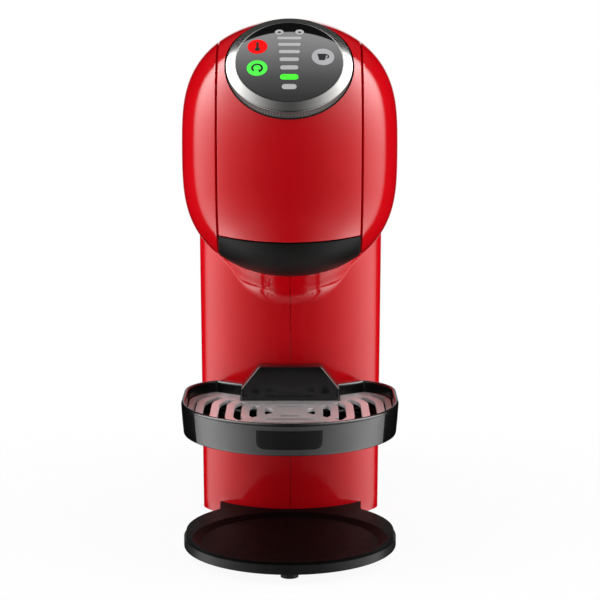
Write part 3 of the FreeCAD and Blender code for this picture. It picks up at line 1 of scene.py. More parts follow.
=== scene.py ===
"""Pod coffee machine: skins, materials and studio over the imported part. Lengths are in mm unless said."""
import contextlib
import json
import math
import bmesh
import bpy
import numpy as np
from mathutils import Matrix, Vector


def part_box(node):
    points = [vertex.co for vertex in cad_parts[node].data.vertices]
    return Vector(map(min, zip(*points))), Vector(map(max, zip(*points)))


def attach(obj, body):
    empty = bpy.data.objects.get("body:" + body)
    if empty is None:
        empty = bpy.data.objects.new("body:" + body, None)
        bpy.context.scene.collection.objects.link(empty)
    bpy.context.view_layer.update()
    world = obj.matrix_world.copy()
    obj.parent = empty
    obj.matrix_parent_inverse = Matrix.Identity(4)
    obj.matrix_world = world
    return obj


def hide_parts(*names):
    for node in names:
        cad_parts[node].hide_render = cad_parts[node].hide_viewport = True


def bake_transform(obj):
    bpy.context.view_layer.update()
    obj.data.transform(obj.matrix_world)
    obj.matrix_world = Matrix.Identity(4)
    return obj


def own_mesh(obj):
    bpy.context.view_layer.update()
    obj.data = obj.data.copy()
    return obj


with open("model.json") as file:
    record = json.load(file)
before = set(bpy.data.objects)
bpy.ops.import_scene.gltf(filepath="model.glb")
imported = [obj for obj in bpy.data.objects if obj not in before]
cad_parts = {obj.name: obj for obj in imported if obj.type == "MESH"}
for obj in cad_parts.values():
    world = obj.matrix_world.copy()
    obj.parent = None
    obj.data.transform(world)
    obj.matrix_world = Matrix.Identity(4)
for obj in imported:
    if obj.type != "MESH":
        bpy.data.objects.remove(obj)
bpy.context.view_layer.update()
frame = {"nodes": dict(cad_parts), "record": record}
nodes = frame["nodes"]

MM = 0.001
SIDES = ((-1, "left"), (1, "right"))

# Welding and eased edges
WELD_REACH = 0.002
THIN_EDGE = 0.001
EDGE_ANGLE = 40.0
EDGE_STEPS = 3

# Head, as the part's source has it
POD_HALF = 54.6
POD_HEIGHT = 65.0
POD_DEPTH = 56.0
POD_FLAT = 0.108
POD_SQUARE = 0.74
POD_ROUND = 0.8
POD_Z = 209.0
POD_START = -68.0
BODY_BACK = 38.0
WALL = 2.5
SEAM = 36.3
CENTRE_SEAM = 0.12
HEAD_EDGE = 0.5
HEAD_INSIDE = (20.0, -20.0, POD_Z)

# Points along the head's surfaces
CURVE_POINTS = 500
FLANK_COLUMNS = 70
FLANK_FINE = 2000
UNDER_POINTS = 60
LEAD_POINTS = 30
FRONT_POINTS = 300
RUN_POINTS = 60
STRIP_COLUMNS = 40

# Handle and holder
HANDLE_HALF = 35.4
HANDLE_LOW = 166.5
HANDLE_BACK = 20.0
HANDLE_EDGE = 0.55
HANDLE_INSIDE = (0.0, -40.0, POD_Z)
HANDLE_COLUMNS = 133
HANDLE_ROWS = 330
HANDLE_RUN = 120
EDGE_RADIUS = 330.0
HOLDER_HALF = 35.4
HOLDER_TOP = 166.0
HOLDER_INSET = 0.2
HOLDER_WALL = 1.6
HOLDER_EDGE = 0.5
HOLDER_INSIDE = (0.0, -60.0, 200.0)
HOLDER_COLUMNS = 121
HOLDER_ROWS = 90
LANE_BACK = -45.0

# Dial, its seat, ring and seal
DIAL_CENTRE = Vector((0.0, -99.8, 248.5))
DIAL_NORMAL = Vector((0.0, -math.sqrt(0.5), math.sqrt(0.5)))
DIAL_UP = Vector((0.0, math.sqrt(0.5), math.sqrt(0.5)))
SEAT_RADIUS = 31.7
SEAT_REACH = 40.0
SEAT_SIDES = 240
SHARP_ANGLE = 35.0
RING_RADIUS = 31.0
RING_BORE = 26.0
RING_TEETH = 132
TOOTH_DEPTH = 0.14
TOOTH_STEPS = 6
RING_SIDE_LOW = 1.4
RING_SIDE_HIGH = 5.6
RING_SIDE_DEPTH = 0.5
SEAL_RADIUS = RING_RADIUS + 0.3
SEAL_BORE = 28.0
SEAL_HEIGHT = 0.8
SEAL_SIDES = 180

# Ring profile: radius, height over the dial's centre, and 1 where the side has teeth
RING_PROFILE = (
    (RING_BORE, 0.9, 0), (RING_RADIUS - 0.6, 0.9, 0), (RING_RADIUS - 0.3, 1.0, 0),
    (RING_RADIUS - 0.1, 1.3, 0), (RING_RADIUS, 1.5, 0), (RING_RADIUS, 1.9, 0), (RING_RADIUS, 2.1, 1),
    (RING_RADIUS, 3.6, 1), (RING_RADIUS, 5.2, 1), (RING_RADIUS, 5.4, 0), (RING_RADIUS, 5.8, 0),
    (RING_RADIUS - 0.05, 6.0, 0), (RING_RADIUS - 0.2, 6.18, 0), (RING_RADIUS - 0.45, 6.34, 0),
    (RING_RADIUS - 0.9, 6.56, 0), (RING_BORE + 2.6, 7.14, 0), (RING_BORE + 1.0, 7.7, 0),
    (RING_BORE + 0.75, 7.78, 0), (RING_BORE + 0.5, 7.84, 0), (RING_BORE + 0.3, 7.85, 0),
    (RING_BORE + 0.14, 7.8, 0), (RING_BORE + 0.04, 7.66, 0), (RING_BORE, 7.4, 0), (RING_BORE, 4.0, 0),
    (RING_BORE, 0.9, 0),
)

# Seal profile: radius and height
SEAL_PROFILE = (
    (SEAL_BORE, 0.0), (SEAL_RADIUS - 0.2, 0.0), (SEAL_RADIUS - 0.05, 0.1), (SEAL_RADIUS, 0.3),
    (SEAL_RADIUS - 0.06, 0.55), (SEAL_RADIUS - 0.25, 0.74), (SEAL_RADIUS - 0.5, SEAL_HEIGHT),
    (SEAL_BORE, SEAL_HEIGHT), (SEAL_BORE, 0.0),
)

# Lens and its printed marks, places given across and up in the lens's own plane
LENS_RADIUS = 25.95
LENS_EDGE = 8.0
LENS_DOME = 0.6
MARK_DEPTH = 0.06
MARK_LIFT = 0.10
SIGN_LIFT = 0.16
TOP_LIFT = 0.17
KEY_SIDES = 40
CORNER_STEPS = 6
ARCH_STEPS = 24
HEAT_KEY = (-15.6, 9.5)
HEAT_WIDTH = 9.7
HEAT_BULB = (-15.6, 7.7)
HEAT_BULB_WIDTH = 2.6
HEAT_BULB_SIDES = 20
HEAT_STEM = (-15.6, 10.3)
HEAT_STEM_SIZE = (1.2, 4.6)
HEAT_STEM_CORNER = 0.5
READY_KEY = (-15.6, -4.8)
READY_WIDTH = 10.0
READY_RADII = (1.9, 2.9)
READY_TURN = (-50, 230)
READY_TIP = ((-14.5, -7.9), (-12.7, -6.0), (-15.1, -5.7))
CUP_KEY = (16.4, 2.6)
CUP_WIDTH = 11.0
CUP_BODY = ((13.7, 4.6), (18.1, 4.6), (17.3, 0.4), (14.5, 0.4))
CUP_EAR = (18.0, 2.9)
CUP_EAR_RADII = (0.8, 1.4)
CUP_EAR_TURN = (-90, 90)
LAMP_SPREAD = 5.0
LAMP_RISE = 19.3
LAMP_SIZE = (4.3, 3.5)
LAMP_SIDES = 28
LAMP_SIGN_RISE = 19.2
LAMP_SIGN_SIZE = (1.7, 1.2)
LAMP_SIGN_SIDES = 16
LIT_BAR = 5
BAR_CORNER = 0.45

# Size bars from the top: place up the lens, width and height
SIZE_BARS = (
    (15.2, 11.9, 1.7), (10.8, 11.1, 1.9), (5.9, 10.3, 2.1), (0.8, 9.5, 2.4),
    (-4.6, 8.8, 2.7), (-10.7, 8.8, 3.4), (-16.9, 7.1, 3.2),
)

# Column and throat
COLUMN_ARC = 54.8
COLUMN_AXIS = 11.4
COLUMN_HALF = 50.2
COLUMN_FOOT_HALF = 48.4
COLUMN_LOW = 5.6
COLUMN_EDGE = 0.12
COLUMN_INSIDE = (0.0, 10.0, 100.0)
COLUMN_POINTS = 160
COLUMN_TAPER = 0.72
DECK_TOP = 12.5
NECK_ROOM = 38.3
THROAT_TOP = 143.7
THROAT_LOW = 111.7
THROAT_RIM = 151.0
THROAT_LOW_RADIUS = 18.0
THROAT_TOP_Y = -30.0
THROAT_LOW_Y = -8.0
THROAT_FLARE = 1.35
THROAT_BLEND = 7.0
THROAT_BACK_SLOPE = 3.0
THROAT_SINK = 3.0
THROAT_START = 0.6
PLAIN_ROWS = 22
THROAT_ROWS = 64
LANE_GAP = 0.7
LANE_STEP = (SEAM - 0.4, SEAM + 0.2)
LEDGE_BACK = 5.0
RIM_RISE = 0.5

# Softening of the column's front corners, in points of a finely divided outline
OUTLINE_SIDE = 300
OUTLINE_FINE = 1200
SOFT_REACH = 60
SOFT_WIDTH = 22.0
SOFT_END = 80

# Tray, its bracket, band and badge
TRAY_HALF = 56.0
TRAY_AXIS = -79.0
TRAY_BACK = -25.5
TRAY_CORNER = 28.0
TRAY_LOW = 64.0
TRAY_RIM = 80.5
TRAY_DRAFT = 1.2
TRAY_ROOM = 55.4
TRAY_INSIDE = (0.0, TRAY_AXIS, 72.0)
TRAY_FRONT_STEPS = 180
TRAY_CORNER_STEPS = 60
TRAY_SIDE_POINTS = 60
TRAY_HOLLOW_POINTS = 121
LIP_INSET = 0.04
LIP_DROP = 1.3
FOOT_RISE = 0.6
BRACKET_FRONT = -53.4
BRACKET_LEVELS = ((72.0, 26.0), (TRAY_RIM, 26.0), (91.7, 17.1), (92.5, 16.2))
BRACKET_POINTS = 41
BRACKET_EDGE = 0.7
BRACKET_ANGLE = 35.0
BAND_HALF = 47.5
BAND_LOW = TRAY_LOW + 0.5
BAND_HIGH = TRAY_RIM - 1.5
BAND_PROUD = 0.12
BAND_WALL = 0.8
BAND_EDGE = 0.15
BAND_ROWS = 12
BAND_COLUMNS = 121
BADGE_HALF = 16.3
BADGE_LOW = 67.4
BADGE_HIGH = 76.8
BADGE_PROUD = 0.3
BADGE_CORNER = 3.2
BADGE_MARGIN = 0.5
FIELD_PROUD = 0.42
FIELD_CORNER = 2.8
BADGE_WALL = 0.5
BADGE_EDGE = 0.08
BADGE_ROWS = 16
BADGE_COLUMNS = 41

# Tray profile from its floor up the outside, over the rim and down the inside: inset and height
TRAY_PROFILE = (
    (2.4, TRAY_LOW), (TRAY_DRAFT + 0.5, TRAY_LOW + 0.05), (TRAY_DRAFT + 0.15, TRAY_LOW + 0.25),
    (TRAY_DRAFT, TRAY_LOW + FOOT_RISE), (0.6, TRAY_LOW + 7.0), (0.12, TRAY_RIM - 2.4),
    (LIP_INSET, TRAY_RIM - LIP_DROP), (0.12, TRAY_RIM - 0.75), (0.35, TRAY_RIM - 0.32),
    (0.7, TRAY_RIM - 0.08), (1.1, TRAY_RIM), (1.5, TRAY_RIM - 0.08), (1.85, TRAY_RIM - 0.32),
    (2.08, TRAY_RIM - 0.75), (2.15, TRAY_RIM - LIP_DROP), (2.2, TRAY_LOW + 2.6), (2.4, TRAY_LOW + 2.2),
)

# Valve spring
SPRING_WIRE = 0.4
SPRING_TURNS = 4
SPRING_STEPS = 28
SPRING_SIDES = 12

# Brew hose
HOSE_STEP = 3.0
HOSE_CUTS = 5

# Base plates, and the nodes whose finish isn't their slot's
BASE_EDGE = 0.4
NODE_FINISH = {"base_deck": "base_black", "base_chassis": "chassis_black", "drip_grid": "grid_steel"}

# Mix node by kind: its first and second input and its result
MIX_SOCKETS = {"FLOAT": (2, 3, 0), "RGBA": (6, 7, 2)}

# Surfaces: noise scales per metre, ramp stops, shares, and depths in metres
DRIFT_STOPS = (0.3, 0.7)
COLOUR_SCALE = 38.0
# Lighter sharp edges: wear, and on the base plates a painted highlight
WEAR_AND_GLINT_STOPS = (0.53, 0.62)
WEAR_AND_GLINT_GAIN = 1.6
WEAR_AND_GLINT_LIFT = 0.02
ROUGH_SCALE = 90.0
ROUGH_DETAIL = 4.0
ROUGH_LEAST = 0.85
ROUGH_MOST = 1.2
GRAIN_SCALE = 10.0
GRAIN_DETAIL = 2.0
GRAIN_DEPTH = 0.0004
COAT_ROUGH = 0.04
CLEAR_DARK = (226, 231, 233)
CLEAR_LIGHT = (231, 236, 238)
CLEAR_SCALE = 30.0
CLEAR_ROUGH = (0.03, 0.05)
CLEAR_ROUGH_SCALE = 70.0
CLEAR_RIPPLE = 0.004
CLEAR_RIPPLE_DEPTH = 0.0003
CLEAR_RIPPLE_SCALE = 160.0
CLEAR_SHARE = 0.85
CLEAR_IOR = 1.2
MARK_ROUGH = 0.35
MARK_SPECULAR = 0.1

# Smoked lens: levels by the share of the way up, the smoked tint made lighter above by a painted reflection,
# and the arc beyond which it is black
LENS_TINT_AND_PAINTED_SHEEN = ((0.0, 0.040), (0.26, 0.074), (0.56, 0.143), (0.71, 0.188), (0.86, 0.24), (1.0, 0.28))
LENS_BLUE = 1.01
LENS_BLACK = (0.003, 0.003, 0.003, 1)
LENS_SPAN = (-23.0, 20.0)
LENS_ARC_DROP = 20.6
LENS_ARC_EDGE = (40.6, 41.2)
LENS_ROUGH = (0.06, 0.1)
LENS_ROUGH_SCALE = 120.0
LENS_SPECULAR = 0.15

# Camera and side panels, in metres, with the tilt in degrees and the lens and sensor in mm
CAMERA_PLACE = (0.0052, -1.0, 0.28)
CAMERA_TILT = 80.9
CAMERA_LENS = 109.56
CAMERA_SENSOR = 36.0
PANEL_ASIDE = 0.95
PANEL_Y = -0.08
PANEL_Z = 0.55
PANEL_WIDTH = 0.95
PANEL_HEIGHT = 2.3
PANEL_POWER = 19.0

# Brightness of the studio as glossy surfaces mirror it: by angle from the front in degrees, and by the rise
TURN_SPAN = (0.0, 180.0)
RISE_SPAN = (-1.0, 1.0)
SIDE_GLOW = (
    (0, 0.08), (10, 0.13), (20, 0.26), (30, 0.46), (40, 0.85), (50, 1.22), (60, 1.72),
    (70, 2.35), (80, 3.4), (90, 4.6), (100, 5.2), (110, 5.2), (116, 3.6), (120, 0.0),
)
RISE_GLOW = (
    (-1.0, 0.3), (-0.87, 0.5), (-0.71, 0.65), (-0.5, 0.4), (-0.26, 0.30), (-0.09, 0.36), (0.09, 0.62),
    (0.26, 1.0), (0.5, 1.45), (0.71, 1.8), (0.87, 1.6), (0.95, 0.8), (1.0, 0.25),
)
REAR_GLOW = ((110, 0.0), (125, 1.0))
TOP_GLOW = ((0.34, 0.0), (0.77, 0.12))
WHITE_BEHIND = (0.965, 0.990)
ROOM_LEVEL = 0.60

# Floor, in metres
FLOOR_REACH = 0.34
FLOOR_SOLID = 0.10
FLOOR_LEVEL = -0.0002
FLOOR_SIDES = 96
FLOOR_SCALE = 3.0
FLOOR_DARK = (0.80, 0.80, 0.80)
FLOOR_LIGHT = (0.82, 0.82, 0.82)
FLOOR_ROUGH = 0.9
FLOOR_SPECULAR = 0.1
FLOOR_WHITE = 0.93


# Mesh building

def placed(name, data):
    """A new object of the scene."""
    item = bpy.data.objects.new(name, data)
    bpy.context.scene.collection.objects.link(item)
    return item


@contextlib.contextmanager
def edited(mesh):
    """A mesh's geometry, open for changes and written back after them."""
    work = bmesh.new()
    work.from_mesh(mesh)
    yield work
    work.to_mesh(mesh)
    work.free()


def build(name, points, faces, material, body, smooth=True):
    """A piece on a body, with doubled points joined and faces turned outwards."""
    mesh = bpy.data.meshes.new(name)
    mesh.from_pydata([tuple(point) for point in np.asarray(points, float) * MM], [], faces)
    with edited(mesh) as work:
        bmesh.ops.remove_doubles(work, verts=work.verts, dist=WELD_REACH * MM)
        bmesh.ops.dissolve_degenerate(work, edges=work.edges, dist=THIN_EDGE * MM)
        bmesh.ops.recalc_face_normals(work, faces=work.faces)
        for face in work.faces:
            face.smooth = smooth
    mesh.materials.append(material)
    item = placed(name, mesh)
    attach(item, body)
    return item


def weld(name, patches, material, body):
    """A piece from grids of points, welded where they meet."""
    points = []
    faces = []
    for patch in patches:
        grid = np.asarray(patch, float)
        rows, columns = grid.shape[:2]
        start = len(points)
        points.extend(grid.reshape(-1, 3))
        for row in range(rows - 1):
            for column in range(columns - 1):
                corner = start + row * columns + column
                faces.append((corner, corner + 1, corner + columns + 1, corner + columns))
    return build(name, points, faces, material, body)


def closed_faces(levels, count):
    """Faces of a closed form from level rows of points: its sides, then its two ends."""
    faces = []
    for level in range(levels - 1):
        low = level * count
        high = low + count
        for index in range(count):
            after = (index + 1) % count
            faces.append((low + index, low + after, high + after, high + index))
    top = (levels - 1) * count
    return faces + [tuple(reversed(range(count))), tuple(range(top, top + count))]


def outward(item, centre):
    """Turns the faces so that they look away from a point inside."""
    mesh = item.data
    middle = Vector(centre) * MM
    score = sum(face.normal.dot(face.center - middle) * face.area for face in mesh.polygons)
    if score < 0:
        mesh.flip_normals()


def round_edges(item, width, angle=EDGE_ANGLE):
    """Rounds the edges that turn more than an angle in degrees."""
    edge = item.modifiers.new("Edge", "BEVEL")
    edge.width = width * MM
    edge.segments = EDGE_STEPS
    edge.limit_method = "ANGLE"
    edge.angle_limit = math.radians(angle)


def thicken(item, thickness, bevel):
    """Gives a skin its wall, inwards, with rounded edges."""
    wall = item.modifiers.new("Wall", "SOLIDIFY")
    wall.thickness = thickness * MM
    wall.offset = -1.0
    round_edges(item, bevel)


def even(points, count):
    """A line of points laid out again at equal steps along its length."""
    points = np.asarray(points, float)
    steps = np.linalg.norm(np.diff(points, axis=0), axis=1)
    along = np.concatenate([[0.0], np.cumsum(steps)])
    wanted = np.linspace(0.0, along[-1], count)
    return np.stack([np.interp(wanted, along, points[:, axis]) for axis in range(points.shape[1])], axis=1)


def arc(x, y, radius, first, last, steps):
    """Points of an arc about a centre, between two angles in degrees."""
    turns = [math.radians(first + (last - first) * step / steps) for step in range(steps + 1)]
    return [(x + radius * math.cos(turn), y + radius * math.sin(turn)) for turn in turns]


# Head surface

def pod_size(x, inset=0.0):
    """The head's half height and its depth at one x."""
    swell = math.sqrt(max(1.0 - (x / (POD_HALF - inset)) ** 2, 0.0))
    height = (POD_HEIGHT - inset) * (POD_FLAT + (1 - POD_FLAT) * swell ** POD_SQUARE)
    depth = (POD_DEPTH - inset) * (POD_FLAT + (1 - POD_FLAT) * swell)
    return height, depth


def pod_curve(x, first, last, inset=0.0):
    """Points of the head's front curve at one x, between two angles from -90 to 90 degrees."""
    height, depth = pod_size(x, inset)
    angle = np.radians(np.linspace(first, last, CURVE_POINTS))
    y = POD_START - depth * np.clip(np.cos(angle), 0, 1) ** POD_ROUND
    z = POD_Z + height * np.sign(np.sin(angle)) * np.abs(np.sin(angle)) ** POD_ROUND
    return np.stack([np.full(CURVE_POINTS, float(x)), y, z], axis=1)


def pod_angle(x, z, inset=0.0):
    """The angle at which the head's front curve passes a height."""
    height = pod_size(x, inset)[0]
    share = min(abs(z - POD_Z) / height, 1.0) ** (1 / POD_ROUND)
    return math.copysign(math.degrees(math.asin(share)), z - POD_Z)


def low_edge(x):
    """The handle's lower edge, bowed like the photo's."""
    return HANDLE_LOW + x * x / (2 * EDGE_RADIUS)


# Dial plane and seat

def dial_point(u, v, t):
    """A point given across, up and out from the dial's centre."""
    return tuple(DIAL_CENTRE + Vector((u, 0, 0)) + DIAL_UP * v + DIAL_NORMAL * t)


def dial_circle(radius, t, sides):
    """A closed row of points round the dial's axis."""
    return [dial_point(u, v, t) for u, v in arc(0.0, 0.0, radius, 0, 360, sides)[:-1]]


def seat_plug():
    """A round plug along the dial's axis, used once to cut its seat."""
    points = dial_circle(SEAT_RADIUS, 0.0, SEAT_SIDES) + dial_circle(SEAT_RADIUS, SEAT_REACH, SEAT_SIDES)
    mesh = bpy.data.meshes.new("dial_seat_plug")
    mesh.from_pydata([Vector(point) * MM for point in points], [], closed_faces(2, SEAT_SIDES))
    return placed("dial_seat_plug", mesh)


def cut_seat(item):
    """Sinks the dial's round seat into the finished skin and leaves a plain mesh."""
    plug = seat_plug()
    cut = item.modifiers.new("Seat", "BOOLEAN")
    cut.operation = "DIFFERENCE"
    cut.solver = "EXACT"
    cut.object = plug
    skin = item.evaluated_get(bpy.context.evaluated_depsgraph_get())
    mesh = bpy.data.meshes.new_from_object(skin)
    item.modifiers.clear()
    item.data = mesh
    mesh.name = item.name
    mesh.set_sharp_from_angle(angle=math.radians(SHARP_ANGLE))
    bpy.data.objects.remove(plug)


# Handle and side shells

def make_handle(material):
    """The lifting handle's skin over the head's front and top, with the dial's seat."""
    back = np.linspace(POD_START, HANDLE_BACK, HANDLE_RUN)[1:]
    columns = []
    for x in np.linspace(-HANDLE_HALF, HANDLE_HALF, HANDLE_COLUMNS):
        top = POD_Z + pod_size(x)[0]
        front = pod_curve(x, pod_angle(x, low_edge(x)), 90.0)
        run = np.array([[x, y, top] for y in back])
        columns.append(even(np.vstack([front, run]), HANDLE_ROWS))
    item = weld("handle_skin", [np.array(columns)], material, "handle")
    outward(item, HANDLE_INSIDE)
    thicken(item, WALL, HANDLE_EDGE)
    cut_seat(item)
    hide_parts("handle_cover")


def flank_columns():
    """x stations from the seam to the flat side, at equal steps along the head's outline."""
    angles = np.linspace(math.asin(SEAM / POD_HALF), math.pi / 2, FLANK_FINE)
    outline = np.array([[x, pod_size(x)[0]] for x in POD_HALF * np.sin(angles)])
    return even(outline, FLANK_COLUMNS)[:, 0]


def under_line(x):
    """Points along the head's underside at one x, from the rear to the holder's lane."""
    low = POD_Z - pod_size(x)[0]
    return [[x, y, low] for y in np.linspace(BODY_BACK, LANE_BACK, UNDER_POINTS)]


def flank_line(x):
    """The head's outline at one x: below, round the front and back along the top."""
    height = pod_size(x)[0]
    lead = [[x, y, POD_Z - height] for y in np.linspace(LANE_BACK, POD_START, LEAD_POINTS)]
    curve = pod_curve(x, -90.0, 90.0)
    run = [[x, y, POD_Z + height] for y in np.linspace(POD_START, BODY_BACK, RUN_POINTS)[1:]]
    rest = even(np.vstack([lead, curve[1:], run]), FRONT_POINTS)
    return np.vstack([under_line(x)[:-1], rest])


def head_patches():
    """Half of the head's skin: the flank, its flat side and the underside inside the seam."""
    flank = np.array([flank_line(x) for x in flank_columns()])
    last = flank[-1]
    half_count = len(last) // 2
    cap = np.stack([last[:half_count], last[::-1][:half_count]], axis=1)
    strip = [under_line(x) for x in np.linspace(CENTRE_SEAM, SEAM, STRIP_COLUMNS)]
    strip[-1] = flank[0][:UNDER_POINTS]
    return [flank, cap, np.array(strip)]


def soft_corner(line):
    """The outline with its corner drawn in and its two ends as they were."""
    offsets = np.arange(-SOFT_REACH, SOFT_REACH + 1)
    weight = np.exp(-0.5 * (offsets / SOFT_WIDTH) ** 2)
    weight /= weight.sum()
    padded = np.pad(line, ((SOFT_REACH, SOFT_REACH), (0, 0)), mode="edge")
    soft = np.stack([np.convolve(padded[:, axis], weight, mode="valid") for axis in range(2)], axis=1)
    middle = slice(SOFT_END, -SOFT_END)
    drawn = line.copy()
    drawn[middle] = np.minimum(np.abs(soft[middle]), np.abs(line[middle])) * np.sign(line[middle])
    return drawn


def column_outline(z):
    """Half outline of the column at a height: bowed front from the seam, soft corner, side to the rear."""
    half = COLUMN_HALF - (COLUMN_HALF - COLUMN_FOOT_HALF) * (POD_Z - z) / (POD_Z - COLUMN_LOW)
    start = math.asin(CENTRE_SEAM / COLUMN_ARC)
    turn = math.asin(half / COLUMN_ARC)
    angles = np.linspace(start, turn, OUTLINE_SIDE)
    bow = [[COLUMN_ARC * math.sin(angle), COLUMN_AXIS - COLUMN_ARC * math.cos(angle)] for angle in angles]
    corner_y = COLUMN_AXIS - COLUMN_ARC * math.cos(turn)
    side = [[half, y] for y in np.linspace(corner_y, BODY_BACK, OUTLINE_SIDE)[1:]]
    return even(soft_corner(even(bow + side, OUTLINE_FINE)), COLUMN_POINTS)


def throat_front(x, z):
    """y of the throat's front: a round taper that flares upwards and leans forward from the column."""
    z = min(z, THROAT_RIM)
    rise = max(z - THROAT_LOW, 0.0) / (THROAT_RIM - THROAT_LOW)
    radius = THROAT_LOW_RADIUS + (SEAM - THROAT_LOW_RADIUS) * rise ** THROAT_FLARE
    axis = THROAT_LOW_Y + (THROAT_TOP_Y - THROAT_LOW_Y) * (z - THROAT_LOW) / (THROAT_TOP - THROAT_LOW)
    if x >= radius:
        return axis + THROAT_BACK_SLOPE * (x - radius)
    return axis - math.sqrt(radius * radius - x * x)


def blended(first, second, width):
    """The lower of two values, with a soft passage from one to the other."""
    near = max(width - abs(first - second), 0.0) / width
    return min(first, second) - near * near * width / 4


def column_row(line, heights):
    """One row of the column's skin, drawn forward to the throat where it stands in front."""
    row = []
    for (x, y), z in zip(line, heights):
        front = blended(y, throat_front(x, z), THROAT_BLEND) if y < LEDGE_BACK else y
        row.append([x, front, z])
    return row


def column_patches():
    """Half of the column's skin: front with the throat, ledge under the head, part inside it, and skirt."""
    foot = column_outline(COLUMN_LOW)
    top_x = column_outline(POD_Z)[:, 0]
    under = np.array([POD_Z - pod_size(min(x, POD_HALF))[0] for x in top_x])
    rim = under + np.interp(top_x, LANE_STEP, [-LANE_GAP, THROAT_SINK])
    plain_shares = np.linspace(0.0, THROAT_START, PLAIN_ROWS)
    throat_shares = np.linspace(THROAT_START, 1.0, THROAT_ROWS)[1:]
    rows = []
    for share in np.concatenate([plain_shares, throat_shares]):
        line = column_outline(DECK_TOP + share * (POD_Z - DECK_TOP) * COLUMN_TAPER)
        rows.append(column_row(line, DECK_TOP + share * (rim - DECK_TOP)))
    plain = column_outline(DECK_TOP + (POD_Z - DECK_TOP) * COLUMN_TAPER)
    for heights in (rim, np.maximum(under + THROAT_SINK, rim + RIM_RISE)):
        rows.append([[x, y, z] for (x, y), z in zip(plain, heights)])
    skirt = np.array([[[x, y, COLUMN_LOW] for x, y in foot], rows[0]])
    beside_neck = foot[:, 0] >= NECK_ROOM
    return [np.array(rows), skirt[:, beside_neck]]


def make_shell(side, name, material):
    """One side of the body: its half of the head and its half of the column."""
    for label, patches, inside, edge in (
        ("head", head_patches(), HEAD_INSIDE, HEAD_EDGE),
        ("column", column_patches(), COLUMN_INSIDE, COLUMN_EDGE),
    ):
        turned = [np.asarray(patch) * np.array([side, 1, 1]) for patch in patches]
        item = weld(f"{name}_{label}", turned, material, "machine")
        outward(item, (inside[0] * side, inside[1], inside[2]))
        thicken(item, WALL, edge)
    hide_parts(f"{name}_shell")


# Holder, ring and seal

def make_holder_front(material):
    """The capsule holder's rounded front below the handle."""
    columns = []
    for x in np.linspace(-HOLDER_HALF, HOLDER_HALF, HOLDER_COLUMNS):
        top = low_edge(x) - (HANDLE_LOW - HOLDER_TOP)
        curve = pod_curve(x, -90.0, pod_angle(x, top, HOLDER_INSET), HOLDER_INSET)
        columns.append(even(curve, HOLDER_ROWS))
    item = weld("holder_front", [np.array(columns)], material, "holder")
    outward(item, HOLDER_INSIDE)
    thicken(item, HOLDER_WALL, HOLDER_EDGE)


def make_ring(material, shaded_side_material):
    """The selector ring: toothed side, soft shoulder, broad sloping face, inner lip."""
    steps = RING_TEETH * TOOTH_STEPS
    grid = []
    for radius, t, toothed in RING_PROFILE:
        line = []
        for step in range(steps + 1):
            turn = 2 * math.pi * step / steps
            reach = radius - TOOTH_DEPTH * toothed * (0.5 - 0.5 * math.cos(turn * RING_TEETH))
            line.append(dial_point(reach * math.cos(turn), reach * math.sin(turn), t))
        grid.append(line)
    item = weld("selector_ring_metal", [np.array(grid)], material, "dial")
    # The toothed side takes a darker, duller copy of the ring's metal: painted shade
    item.data.materials.append(shaded_side_material)
    for face in item.data.polygons:
        spot = face.center / MM - DIAL_CENTRE
        rise = spot.dot(DIAL_NORMAL)
        outside = (spot - DIAL_NORMAL * rise).length > RING_RADIUS - RING_SIDE_DEPTH
        if outside and RING_SIDE_LOW < rise < RING_SIDE_HIGH:
            face.material_index = 1
    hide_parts("selector_ring")


def make_gasket(material):
    """The soft seal under the ring, kept thin and dark so that it also stands in for the shadow line beneath
    the ring, as painted shade.
    """
    grid = []
    for radius, t in SEAL_PROFILE:
        row = dial_circle(radius, t, SEAL_SIDES)
        grid.append(row + row[:1])
    item = weld("dial_seal_and_shadow_line", [np.array(grid)], material, "handle")
    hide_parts("dial_gasket")


# Display marks

def lens_rise(u, v):
    """Height of the domed lens over the dial's centre."""
    return LENS_EDGE + LENS_DOME * (1 - (u * u + v * v) / LENS_RADIUS ** 2)


def print_mark(name, outline, lift, material):
    """A thin raised mark on the lens from an outline in the lens's own plane."""
    points = []
    for height in (lift - MARK_DEPTH, lift):
        points += [dial_point(u, v, lens_rise(u, v) + height) for u, v in outline]
    item = build(name, points, closed_faces(2, len(outline)), material, "handle", smooth=False)


def oval(centre, width, height, sides):
    """Outline of an oval."""
    unit = arc(0.0, 0.0, 1.0, 0, 360, sides)[:-1]
    return [(centre[0] + width / 2 * across, centre[1] + height / 2 * up) for across, up in unit]


def bar(centre, width, height, corner):
    """Outline of a bar with rounded corners."""
    outline = []
    for across, up, start in ((1, 1, 0), (-1, 1, 90), (-1, -1, 180), (1, -1, 270)):
        u = centre[0] + across * (width / 2 - corner)
        v = centre[1] + up * (height / 2 - corner)
        outline += arc(u, v, corner, start, start + 90, CORNER_STEPS)
    return outline


def arch(centre, radii, turn):
    """Outline of a part of a flat ring, between two angles in degrees."""
    inner, outer = (arc(*centre, radius, *turn, ARCH_STEPS) for radius in radii)
    return outer + inner[::-1]


def make_heat_key(marks):
    """The upper left key, with a thermometer."""
    print_mark("key_heat", oval(HEAT_KEY, HEAT_WIDTH, HEAT_WIDTH, KEY_SIDES), MARK_LIFT, marks["red"])
    bulb = oval(HEAT_BULB, HEAT_BULB_WIDTH, HEAT_BULB_WIDTH, HEAT_BULB_SIDES)
    print_mark("key_heat_bulb", bulb, SIGN_LIFT, marks["dark"])
    print_mark("key_heat_stem", bar(HEAT_STEM, *HEAT_STEM_SIZE, HEAT_STEM_CORNER), TOP_LIFT, marks["dark"])


